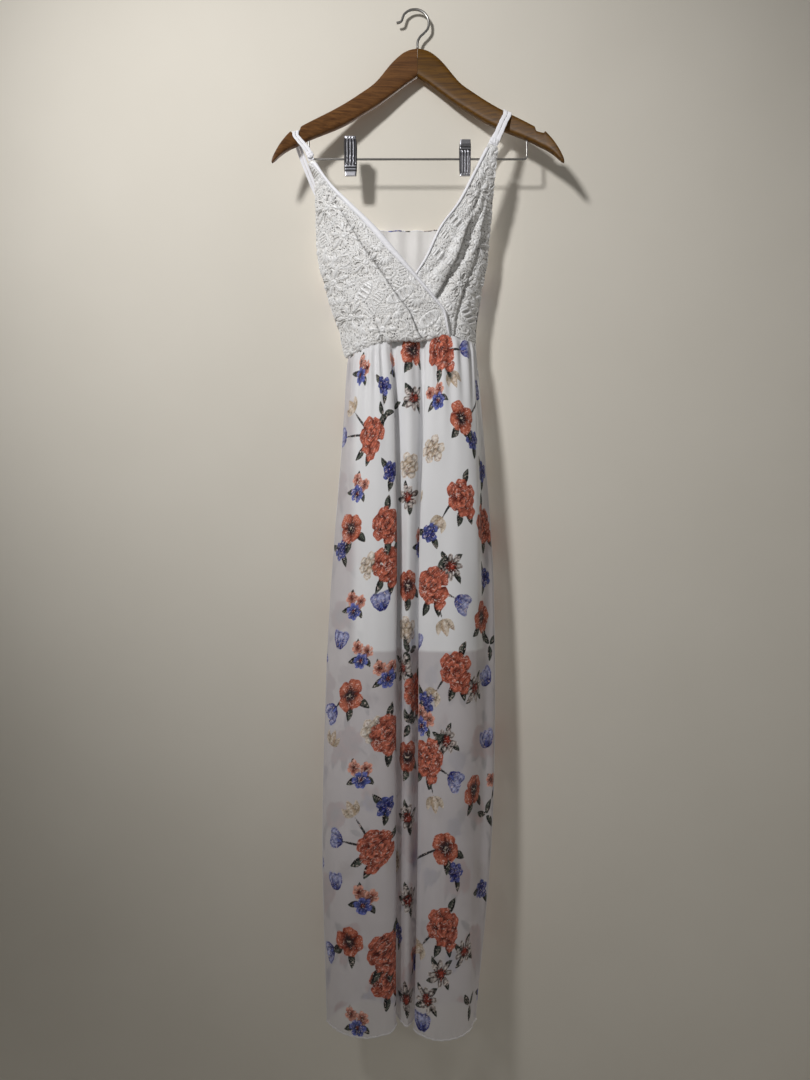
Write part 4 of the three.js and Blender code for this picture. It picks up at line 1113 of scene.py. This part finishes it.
def lace_finish():
    material, tree, shader = surface("corded_lace", 0.6, Sheen_Weight=0.2, Specular_IOR_Level=0.5)
    thread = field(tree, "thread")
    flat = flat_place(tree)
    satin = noise(tree, flat, 1500, 1)
    # The net's small holes are not opened but painted dark, with white threads round them: a painted
    # shade of the lining seen through them.
    mesh = node(tree, "TexVoronoi", {"Scale": 310}, {"Vector": flat}, feature="DISTANCE_TO_EDGE")
    hole_shade = span(tree, mesh.outputs["Distance"], 0.06, 0.3)
    beads = noise(tree, flat, 520, 1)
    net = blend_colour(tree, hole_shade, linear(240, 238, 235), linear(50, 46, 42))
    net = blend_colour(tree, span(tree, beads, 0.42, 0.62, 0, 0.6), net, linear(250, 249, 247))
    sheen = span(tree, satin, 0.3, 0.7)
    cord = blend_colour(tree, sheen, linear(255, 255, 255), linear(224, 224, 225))
    cord = blend_colour(tree, span(tree, beads, 0.32, 0.44, 0.55, 0), cord, linear(130, 126, 121))
    colour = blend_colour(tree, span(tree, thread, 0.25, 0.9), net, cord)
    # Along each lap line the lace colour goes dark: a painted shade in the fold.
    paint(tree, shader, blend_colour(tree, field(tree, "lap_crease_shade"), colour, linear(62, 57, 52)))
    tree.links.new(span(tree, thread, 0.2, 1, 0.85, 0.34), shader.inputs["Roughness"])
    press(tree, shader, satin, 0.5, 0.00025)
    return material


corded_lace = lace_finish()
LACE_ROWS = 350
LACE_LIFT = 1.5
LACE_RELIEF = 1.9
DEEPEST_LAP = 4


def lace_piece(side, panel, flowers, leaves, columns, band):
    """Under the neck band, whose width is given, the lace lies flat."""
    points, flat, u, v = panel_grid(panel, columns, LACE_ROWS)
    relief, thread, gap = lace_pattern(points[..., 0], points[..., 2], flowers, leaves)
    reach = np.linalg.norm(points[:, -1] - points[:, 0], axis=1)[:, None]
    wide = np.interp(v, np.linspace(0, 1, len(band)), band)
    relief = relief * smooth(wide - 1, wide + 2, (1 - u) * reach)
    # The mask below marks each lap line. It flattens the raised threads there, and the finish paints it
    # as shade.
    lap_crease_shade = np.zeros(u.shape)
    for lap in panel["laps"]:
        away, ends = from_lap(lap, u, v, reach)
        lap_crease_shade = np.maximum(lap_crease_shade, ends * lap[1] / DEEPEST_LAP * bell(away + 0.5, 1.05))
    lift = LACE_LIFT + LACE_RELIEF * relief * (1 - lap_crease_shade)
    points += outward(points, panel["turn"]) * lift[..., None]
    faces = grid_faces(LACE_ROWS, columns, panel["turn"])
    open_face = (gap.ravel()[faces] < 0).all(1)
    fields = {"thread": thread, "lap_crease_shade": lap_crease_shade}
    faces = faces[~open_face]
    piece = make_piece("lace_overlay_" + side, points, faces, corded_lace, flat, fields)
    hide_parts("lace_" + side)
    print("open lace:", int(open_face.sum()), "faces")
    return piece


LEFT_BAND = (7, 10, 14, 14.5, 14, 12.5, 9, 6, 5, 4, 3.5)
RIGHT_BAND = (5, 5, 4.5, 4, 3.5, 3.5)
lace_left = lace_piece("left", LEFT_PANEL, LEFT_FLOWERS, LEFT_LEAVES, 200, LEFT_BAND)
lace_right = lace_piece("right", RIGHT_PANEL, RIGHT_FLOWERS, RIGHT_LEAVES, 150, RIGHT_BAND)

# %% [markdown]
# The neck edges are bound with a satin band that is folded over them. In front its section is a low
# arch, at the neck edge it turns over to the lining side, and small puckers run across it where the
# edge was eased.

# %% Bindings
def satin_finish(name, colour):
    material, tree, shader = surface(name, 0.5, Sheen_Weight=0.1, Specular_IOR_Level=0.4)
    flat = flat_place(tree)
    cloud = span(tree, noise(tree, flat, 90, 2), 0.3, 0.7)
    paint(tree, shader, blend_colour(tree, cloud, colour, darker(colour, 0.93)))
    stretched = node(tree, "Mapping", {"Scale": (500, 60, 1)}, {"Vector": flat}).outputs["Vector"]
    press(tree, shader, noise(tree, stretched, 1.0, 2), 0.25, 0.0004)
    return material


band_white = satin_finish("satin_band", linear(250, 250, 255))
TURNED_OVER = [  # past the edge, and up from the cloth
    (0.6, 1.7), (0.9, 0.9), (0.8, 0.2), (0.3, -0.4), (-0.9, -0.6), (-2.5, -0.6),
]
BAND_RISE = 2.2
BAND_ARCH = 2.0


def binding_piece(side, panel, widths, last):
    """widths are across the cloth at even steps down; past the edge the band turns over to the lining."""
    v, across = np.meshgrid(np.linspace(0.02, last, 300), np.linspace(0, 1, 13), indexing="ij")
    outer, neck = [spline(panel[edge], v[:, 0] * 8) for edge in ("outer", "neck")]
    reach = np.linalg.norm(neck - outer, axis=1)[:, None]
    wide = np.interp(v, np.linspace(0, 1, len(widths)), widths)
    points = on_panel(panel, 1 - (1 - across) * wide / reach, v)
    normal = outward(points, panel["turn"])
    past = unit(points[:, -1:] - points[:, -2:-1])
    from_middle = np.abs(2 * across - 1)
    lift = BAND_RISE + BAND_ARCH * (1 - from_middle**3)
    lift += 0.16 * np.sin(v * 260 + 3 * np.sin(v * 41)) * (1 - from_middle)
    turned_over = [points[:, -1:] + past * out + normal[:, -1:] * up for out, up in TURNED_OVER]
    points = np.concatenate([points + normal * lift[..., None], *turned_over], axis=1)
    beyond = wide[:, -1:] + np.arange(1, len(TURNED_OVER) + 1) * 0.8
    flat = pairs(np.concatenate([across * wide, beyond], 1), -v[:, :1] * 330)
    faces = grid_faces(*points.shape[:2], panel["turn"])
    piece = make_piece("neck_band_" + side, points, faces, band_white, flat)
    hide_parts("neck_binding_" + side)
    return piece


band_left = binding_piece("left", LEFT_PANEL, LEFT_BAND, 1.0)
band_right = binding_piece("right", RIGHT_PANEL, RIGHT_BAND, 0.62)

# %% [markdown]
# The back is gathered on elastic, in wide gathers with finer ones at its top and its waist. Its outside
# is the printed cloth and its inside, seen over the neck from the front, is plain white.

# %% Back bodice
WIDE_GATHERS = 14
FINE_GATHERS = 31
BACK_WIDTH = 330
BACK_TALL = 190
CLOTH_OUT = 1.3
LINING_OUT = 0.1
ROWS, COLUMNS = 111, 331


def back_panel(u, v):
    left = spline(LEFT_PANEL["outer"], mix(3, 8, v))
    right = spline(RIGHT_PANEL["outer"], mix(3, 8, v))
    share = 0.5 - 0.5 * np.cos(math.pi * u)
    top = mix(left, right, share[..., None])
    near_side = np.minimum(u, 1 - u)
    top[..., 1] += 26 * np.sin(math.pi * u) ** 0.9 + 0.8
    top[..., 2] += 14 * smooth(0, 0.12, near_side) * (1 - v)
    folds = LEFT_EDGE - u[0] * (LEFT_EDGE - RIGHT_EDGE)
    waist = on_skirt(folds, np.array([0.0])) + np.array([0, 0, 0.4])
    point = mix(top, waist, smooth(0.45, 1, v)[..., None])
    ease = smooth(0, 0.1, near_side)
    point[..., 1] += 1.6 * np.sin(2 * math.pi * WIDE_GATHERS * u) * ease * (1 - v)
    uneven = 0.55 * np.sin(2 * math.pi * FINE_GATHERS * u + 4 * np.sin(7 * u))
    uneven *= 0.5 + 0.5 * np.sin(23 * u)
    point[..., 1] += uneven * ease * (bell(v, 0.16) + bell(1 - v, 0.2))
    return point


v, u = np.meshgrid(np.linspace(0, 1, ROWS), np.linspace(0.004, 0.996, COLUMNS), indexing="ij")
middle = back_panel(u, v)
normals = outward(middle, 1)
back_outer = middle + normals * CLOTH_OUT
back_inner = middle + normals * LINING_OUT
across, down = np.linspace(0, BACK_WIDTH, COLUMNS), np.linspace(0, BACK_TALL, ROWS)
canvas = print_cloth(across, down, {}, (20, -40))
flat = pairs(u * BACK_WIDTH, -v * BACK_TALL)
fields = {"ink": canvas["ink"], "edge": canvas["edge"], "backed": np.ones(u.shape)}
printed_lined = chiffon_finish("printed_over_lining", 1.0, 1.0)
faces = grid_faces(*u.shape, 1)
bodice_back = make_piece("back_outside", back_outer, faces, printed_lined, flat, fields)
inner = back_inner[::2, ::2]
faces = grid_faces(*inner.shape[:2], 1)[:, ::-1]
back_lining = make_piece("back_inside", inner, faces, lining_white, flat[::2, ::2])
edge_path = (back_inner[0] + back_outer[0]) / 2
first_row = {key: values[0] for key, values in fields.items()}
top_edge = rolled_edge("back_top_edge", edge_path, 1.0, printed_lined, fields=first_row)
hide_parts("bodice_back")

# %% [markdown]
# Two narrow satin straps lie side by side on each shoulder, over the arm of the hanger and down to the
# back. A strap is a turned tube pressed flat: its edges are round and it is a touch thicker in the
# middle.

# %% Straps
# "at" is the line between the two straps of a pair, and "along" is the way across them.
LEFT_STRAPS = {
    "width": 4.4,
    "at": [(-154.4, -38.4, -247.4), (-159.5, -40.6, -234), (-171.5, -41, -219), (-177.8, -38.9, -210),
           (-178, -37, -204), (-178, -31, -200.9), (-178, -25, -204), (-177.8, -22.9, -210),
           (-172, -17, -229), (-150, -4, -282), (-124, 12, -329.5)],
    "along": [(0.93, -0.2, 0.33), (0.93, 0, 0.35), (0.88, 0.2, 0.38), (0.86, 0.29, 0.4),
              (0.86, 0.29, 0.4), (0.86, 0.29, 0.4), (0.86, 0.29, 0.4), (0.86, 0.29, 0.4), (0.9, 0, 0.3),
              (0.95, 0.1, 0.25), (0.93, 0.3, 0.15)],
}
RIGHT_STRAPS = {
    "width": 6.0,
    "at": [(116.2, -37.6, -224), (124, -35, -206), (133, -30, -184), (138.2, -25.8, -173),
           (139, -23.3, -167), (139.2, -17, -164.2), (139, -10.7, -167), (138.2, -8.3, -173),
           (119, -1, -204), (104, 5, -238), (94, 16.5, -330)],
    "along": [(0.92, -0.1, -0.4), (0.92, -0.1, -0.4), (0.88, -0.15, -0.46), (0.8, -0.2, -0.56),
              (0.8, -0.2, -0.56), (0.8, -0.2, -0.56), (0.8, -0.2, -0.56), (0.8, -0.2, -0.56),
              (0.9, 0, -0.2), (0.95, 0.05, 0), (0.95, -0.2, 0)],
}
STRAP_SIDES = 16
HALF_THICK = 0.6
STRAP_GAP = 0.4


def rounded(wave, power):
    """A sine or cosine made squarer by a power under 1."""
    return np.sign(wave) * np.abs(wave) ** power


def strap_piece(name, straps, side):
    t = np.linspace(0, 10, 260)
    centre = spline(straps["at"], t)
    tangent = unit(np.gradient(centre, axis=0))
    k = np.clip(t.astype(int), 0, 9)
    table = np.array(straps["along"], float)
    along = mix(table[k], table[k + 1], (t - k)[:, None])
    along = unit(along - tangent * (along * tangent).sum(1, keepdims=True))
    out = np.cross(tangent, along)
    centre = centre + along * side * (straps["width"] + STRAP_GAP) / 2
    angles = np.arange(STRAP_SIDES) * 2 * math.pi / STRAP_SIDES
    width = straps["width"] / 2 * rounded(np.cos(angles), 0.7)
    thick = HALF_THICK * rounded(np.sin(angles), 0.6)
    ripple = 1 + 0.05 * np.sin(t * 11 + side)[:, None]
    points = centre[:, None] + along[:, None] * (width * ripple)[..., None]
    points = points + out[:, None] * thick[None, :, None]
    run = run_along(centre)
    flat = pairs(width[None], run[:, None])
    faces = tube_faces(len(t), STRAP_SIDES)
    piece = make_piece("satin_strap_" + name, points, faces, band_white, flat)
    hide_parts("strap_" + name)


strap_piece("left_outer", LEFT_STRAPS, -1)
strap_piece("left_inner", LEFT_STRAPS, 1)
strap_piece("right_inner", RIGHT_STRAPS, -1)
strap_piece("right_outer", RIGHT_STRAPS, 1)

# %% [markdown]
# Where the straps meet the front they are gathered and stitched. On the left a short knot of the same
# satin sits on the join, and on the right a little ruffle. Each starts as a ball that is pinched into
# folds, which is how such a knob of cloth looks once the stitches are pulled tight.

# %% Strap knots
def strap_knot(name, place, size, folds, turn):
    bpy.ops.object.select_all(action="DESELECT")
    bpy.ops.mesh.primitive_uv_sphere_add(segments=48, ring_count=24, radius=1)
    knot = bpy.context.object
    knot.name = name
    x, y, z = places_of(knot.data).T
    round_about = np.arctan2(y, x)
    pinch = 1 + 0.16 * np.cos(folds * round_about + 2.2 * z) * (1 - z**2) - 0.24 * bell(z, 0.22)
    local = np.stack([x * pinch * size[0], y * pinch * size[1], z * size[2]], -1)
    side, up = turned(local[:, 0], local[:, 2], turn)
    points = np.stack([side, local[:, 1], up], -1)
    knot.data.vertices.foreach_set("co", ((points + place) * 0.001).ravel())
    knot.data.update()
    knot.data.uv_layers[0].name = "flat"
    bpy.ops.object.shade_smooth()
    enter(knot, band_white)


strap_knot("knot_left", (-156.2, -40.6, -240), (5.2, 2.4, 5.4), 7, -0.5)
strap_knot("knot_right", (117.6, -38.2, -218.5), (7.4, 2.2, 4.8), 9, 0.45)

# %% [markdown]
# The hanger is two pieces of wood that meet in the middle, sawn from board and rounded over. An arm
# could be a swept curve, but its height changes in a way that is easier to set section by section. So a
# ring of points is made a rounded oblong, its face is extruded, moved and scaled from section to
# section in edit mode, and a subdivision smooths the run. The face at the joint is opened first and
# closed again after, so that the joint stays flat.

# %% Hanger arms
ARM = [  # distance out, top, bottom, thickness
    (0.2, -59, -101.6, 12.6), (14, -61, -111, 13), (27, -69, -121, 13), (42, -84.5, -133, 13),
    (56, -104, -144, 13), (67, -117, -152, 13), (82, -128, -162, 13), (105, -146, -179, 13),
    (128, -162, -192, 13), (150, -176, -203, 13), (173.5, -192, -217, 12), (175, -193.3, -218, 12),
    (176.4, -199.6, -219, 12), (178, -201, -220.3, 12), (186.2, -204.6, -226, 12),
    (187.8, -205, -227, 12), (189.4, -202.2, -228, 12), (191, -204, -229.5, 12), (201, -217, -237, 11),
    (210, -233, -248, 9), (217, -249, -256, 5),
]
HANGER_MIDDLE = 4
RING_POINTS = 20


def forward(out):
    """How far the hanger has curved towards the front at a distance out from its middle."""
    return 44 * (out / 217) ** 2


def wood_finish(name, dark, light, seed):
    material, tree, shader = surface(name, 0.5, Coat_Weight=0.05, Coat_Roughness=0.3,
                                     Specular_IOR_Level=0.25)
    place = object_place(tree)
    stretch = {"Scale": (8, 200, 330), "Location": (seed, seed, seed)}
    long = node(tree, "Mapping", stretch, {"Vector": place})
    grain = noise(tree, long.outputs[0], 1.0, 5, 0.6)
    short = node(tree, "Mapping", {"Scale": (120, 900, 1400)}, {"Vector": place})
    pores = noise(tree, short.outputs[0], 1.0, 2)
    tone = blend_colour(tree, span(tree, grain, 0.25, 0.75), dark, light)
    tone = blend_colour(tree, span(tree, pores, 0.58, 0.7, 0, 0.45), tone, darker(dark, 0.5))
    paint(tree, shader, tone)
    press(tree, shader, pores, 0.2, 0.0003)
    return material


def select_faces_where(test):
    """Left in edit mode, with only the faces selected that pass the test."""
    bpy.ops.object.mode_set(mode="OBJECT")
    for face in bpy.context.object.data.polygons:
        face.select = bool(test(face))
    bpy.ops.object.mode_set(mode="EDIT")


def rounded_oblong(count):
    """Points round a unit oblong with soft corners, as pairs from -0.5 to 0.5."""
    angles = (np.arange(count) + 0.5) * 2 * math.pi / count
    return np.stack([rounded(np.cos(angles), 0.5) / 2, rounded(np.sin(angles), 0.5) / 2], -1)


def face_outward():
    """All faces of the active mesh turn their fronts outward; it starts and ends in object mode."""
    bpy.ops.object.mode_set(mode="EDIT")
    bpy.ops.mesh.select_all(action="SELECT")
    bpy.ops.mesh.normals_make_consistent(inside=False)
    bpy.ops.object.mode_set(mode="OBJECT")


def shape_arm(name, side, material, node_name):
    out, top, bottom, thick = ARM[0]
    joint_x = (HANGER_MIDDLE + side * out) / 1000
    middle = (top + bottom) / 2
    bpy.ops.object.select_all(action="DESELECT")
    bpy.ops.mesh.primitive_circle_add(vertices=RING_POINTS, radius=0.5, fill_type="NGON")
    arm = bpy.context.object
    arm.name = name
    for vertex, (across, up) in zip(arm.data.vertices, rounded_oblong(RING_POINTS)):
        vertex.co = (joint_x, across * thick / 1000, (middle + up * (top - bottom)) / 1000)
    bpy.ops.object.mode_set(mode="EDIT")
    bpy.ops.mesh.select_mode(type="FACE")
    bpy.ops.mesh.select_all(action="SELECT")
    before = ARM[0]
    for row in ARM[1:]:
        step = (side * (row[0] - before[0]), forward(before[0]) - forward(row[0]),
                (row[1] + row[2] - before[1] - before[2]) / 2)
        bpy.ops.mesh.extrude_region_move(TRANSFORM_OT_translate={"value": tuple(0.001 * v for v in step)})
        taller = (row[1] - row[2]) / (before[1] - before[2])
        bpy.ops.transform.resize(value=(1, row[3] / before[3], taller))
        before = row
    select_faces_where(lambda face: abs(face.center.x - joint_x) < 1e-6)
    bpy.ops.mesh.delete(type="FACE")
    bpy.ops.object.mode_set(mode="OBJECT")
    soft = arm.modifiers.new("soft", "SUBSURF")
    soft.levels = soft.render_levels = 2
    bpy.ops.object.modifier_apply(modifier="soft")
    bpy.ops.object.mode_set(mode="EDIT")
    bpy.ops.mesh.select_mode(type="EDGE")
    bpy.ops.mesh.select_all(action="DESELECT")
    bpy.ops.mesh.select_non_manifold()
    bpy.ops.mesh.edge_face_add()
    bpy.ops.object.mode_set(mode="OBJECT")
    face_outward()
    bpy.ops.object.shade_smooth_by_angle(angle=math.radians(50))
    enter(arm, material, node_name)


dark_wood = wood_finish("dark_wood", linear(70, 40, 14), linear(122, 82, 42), 2)
light_wood = wood_finish("light_wood", linear(66, 40, 2), linear(112, 75, 10), 9)
shape_arm("wood_arm_left", -1, dark_wood, "hanger_arm_left")
shape_arm("wood_arm_right", 1, light_wood, "hanger_arm_right")

# %% [markdown]
# Hook and bar are bent from round plated wire. A path curve with a round bevel has the right section
# all along, and it is turned into a mesh once its points stand where the bends are.

# %% Wires
def steel_finish(name, colour, roughness, scratch):
    material, tree, shader = surface(name, roughness, Metallic=1.0)
    marks = noise(tree, object_place(tree), scratch, 3)
    tint = blend_colour(tree, span(tree, marks, 0.35, 0.65), colour, darker(colour, 0.72))
    paint(tree, shader, tint)
    rough = span(tree, marks, 0.3, 0.7, roughness, roughness + 0.16)
    tree.links.new(rough, shader.inputs["Roughness"])
    return material, tree, shader, tint


def bend_wire(name, path, diameter, node_name):
    bpy.ops.object.select_all(action="DESELECT")
    bpy.ops.curve.primitive_nurbs_path_add()
    wire = bpy.context.object
    wire.name = name
    curve = wire.data
    curve.splines.clear()
    line = curve.splines.new("POLY")
    line.points.add(len(path) - 1)
    weighted = np.concatenate([np.array(path) * 0.001, np.ones((len(path), 1))], 1)
    line.points.foreach_set("co", weighted.ravel())
    curve.dimensions = "3D"
    curve.bevel_depth = diameter / 2000
    curve.bevel_resolution = 4
    curve.use_fill_caps = True
    bpy.ops.object.convert(target="MESH")
    wire.data.materials.clear()
    bpy.ops.object.shade_smooth_by_angle(angle=math.radians(50))
    enter(wire, chrome, node_name)


HOOK_WIRE = 4
BAR_WIRE = 3.2
CROWN = 21.4
BAR_REACH = 164
BAR_BEND = 5
BAR_Y = -forward(BAR_REACH)
BAR_Z = -239.6

chrome, *_ = steel_finish("plated_wire", linear(170, 168, 165), 0.28, 300)
turns = np.radians(np.linspace(205, -20, 8))[1:]
crown = [(CROWN * math.cos(a), 0, HOOK_WIRE / 2 - CROWN + CROWN * math.sin(a)) for a in turns]
shank = [(15.5, 0, -33), (7.5, 0, -41), (4.2, 0, -48), (HANGER_MIDDLE, 0, -57.7)]
hook_points = [(-28, 0, -19), *crown, *shank]
hook_path = spline(hook_points, np.linspace(0, len(hook_points) - 1, 160))
bend_wire("steel_hook", hook_path, HOOK_WIRE, "hanger_hook")


def bar_end(side):
    x = HANGER_MIDDLE + side * BAR_REACH
    bend = []
    for a in np.radians(range(0, 91, 9)):
        inward = side * BAR_BEND * (1 - math.cos(a))
        bend.append((x - inward, BAR_Y, BAR_Z + BAR_BEND * (1 - math.sin(a))))
    return [(x, BAR_Y, -212.5), (x, BAR_Y, -226), *bend]


bend_wire("steel_bar", bar_end(-1) + bar_end(1)[::-1], BAR_WIRE, "hanger_bar")

# %% [markdown]
# A trouser clip is two pressed steel plates that touch the bar and close at the jaws. Each plate starts
# as a flat grid, which is bent to the plate's section, pressed into upright ribs over half of its
# height and into level notches over the rest, and then thickened. Left and right clips face opposite
# ways up, as they hang in the picture.

# %% Clips
clip_steel, tree, shader, bright = steel_finish("pressed_steel", linear(176, 176, 182), 0.26, 500)
# The hollows and rims marked on the plates are painted near black: a painted shade.
paint(tree, shader, blend_colour(tree, field(tree, "groove_shade"), bright, linear(34, 32, 34)))
CLIPS = [  # side, place, width, height over the bar, depth under it, the end with the upright ribs
    ("left", -97, 19, 31, 25, 1), ("right", 75, 17, 26, 25, -1),
]
RIB_COUNT = 4
RIB_DEPTH = 1.5
NOTCH_DEPTH = 0.9
PLATE_THICK = 1.1


def plate_out(up, high):
    """Distance of a plate's inner face from the middle of the clip at a height above the bar."""
    return float(np.interp(up, [-25, -20, -3, 3, high], [0.25, 0.25, 1.9, 1.9, 7.0]))


def clip_plate(name, x, width, high, low, rib_side, face, node_name):
    """face is -1 for the front plate and 1 for the back one."""
    bpy.ops.object.select_all(action="DESELECT")
    bpy.ops.mesh.primitive_grid_add(x_subdivisions=28, y_subdivisions=44, size=1)
    plate = bpy.context.object
    plate.name = name
    a, b = places_of(plate.data)[:, :2].T + 0.5
    up = mix(-low, high, b)
    taper = 1 - 0.1 * smooth(0.6, 1, np.abs(b - 0.5) * 2)
    half = 0.5 * (high + low)
    middle = 0.5 * (high - low)
    along = rib_side * (up - middle) / (2 * half)
    from_end = half - np.abs(up - middle)
    from_side = np.minimum(a, 1 - a)
    rib_zone = smooth(-0.25, -0.15, along) * smooth(0, 1.5, from_end - 2)
    notch_zone = smooth(-0.17, -0.25, along) * smooth(0, 2, from_end - 5)
    inner = smooth(0, 0.08, from_side)
    ribs = RIB_DEPTH * (0.5 + 0.5 * np.cos(2 * math.pi * RIB_COUNT * a)) * rib_zone * inner
    notches = NOTCH_DEPTH * (0.5 + 0.5 * np.sin(up * 1.5)) * notch_zone * inner
    rim = 0.5 * (1 - smooth(0, 0.09, from_side))
    out = np.array([plate_out(value, high) for value in up]) + 1.4 + ribs + notches - rim
    points = np.stack([x + (a - 0.5) * width * taper, BAR_Y + face * out, BAR_Z + up], -1)
    plate.data.vertices.foreach_set("co", (points * 0.001).ravel())
    plate.data.update()
    # The hollows of the ribs and notches and the plate's rim are marked for a painted shade.
    dark = rib_zone * smooth(0.55, 0.1, ribs / RIB_DEPTH)
    dark += notch_zone * smooth(0.5, 0.1, notches / NOTCH_DEPTH)
    dark = np.maximum(dark, 1 - smooth(0, 0.07, from_side))
    write_field(plate.data, "groove_shade", np.clip(dark, 0, 1))
    wall = plate.modifiers.new("plate", "SOLIDIFY")
    wall.thickness = PLATE_THICK / 1000
    wall.offset = face
    bpy.ops.object.modifier_apply(modifier="plate")
    face_outward()
    bpy.ops.object.shade_smooth_by_angle(angle=math.radians(45))
    enter(plate, clip_steel, node_name)


for side, x, width, high, low, rib_side in CLIPS:
    for face, word in ((-1, "front"), (1, "back")):
        clip_plate(f"plate_{side}_{word}", x, width, high, low, rib_side, face, f"clip_{side}_{word}")

# %% [markdown]
# The floor and the backdrop take a plain pale finish with a faint mottle.

# %% Floor and finish
def mottled_finish(name, scale, detail, light, dark):
    material, tree, shader = surface(name, 0.9)
    mottle = noise(tree, object_place(tree), scale, detail)
    paint(tree, shader, blend_colour(tree, mottle, light, dark))
    return material, tree, shader


pale, *_ = mottled_finish("pale_floor", 3, 3, (0.9, 0.88, 0.84), (0.84, 0.82, 0.78))
floor.data.materials.append(pale)
paper, tree, shader = mottled_finish("pale_backdrop", 5, 4, (0.78, 0.74, 0.66), (0.72, 0.68, 0.6))
behind = node(tree, "NewGeometry").outputs["Backfacing"]
clear = node(tree, "BsdfTransparent")
choice = node(tree, "MixShader", links={0: behind, 1: shader.outputs[0], 2: clear.outputs[0]})
tree.links.new(choice.outputs[0], tree.nodes["Material Output"].inputs["Surface"])
backdrop.data.materials.append(paper)
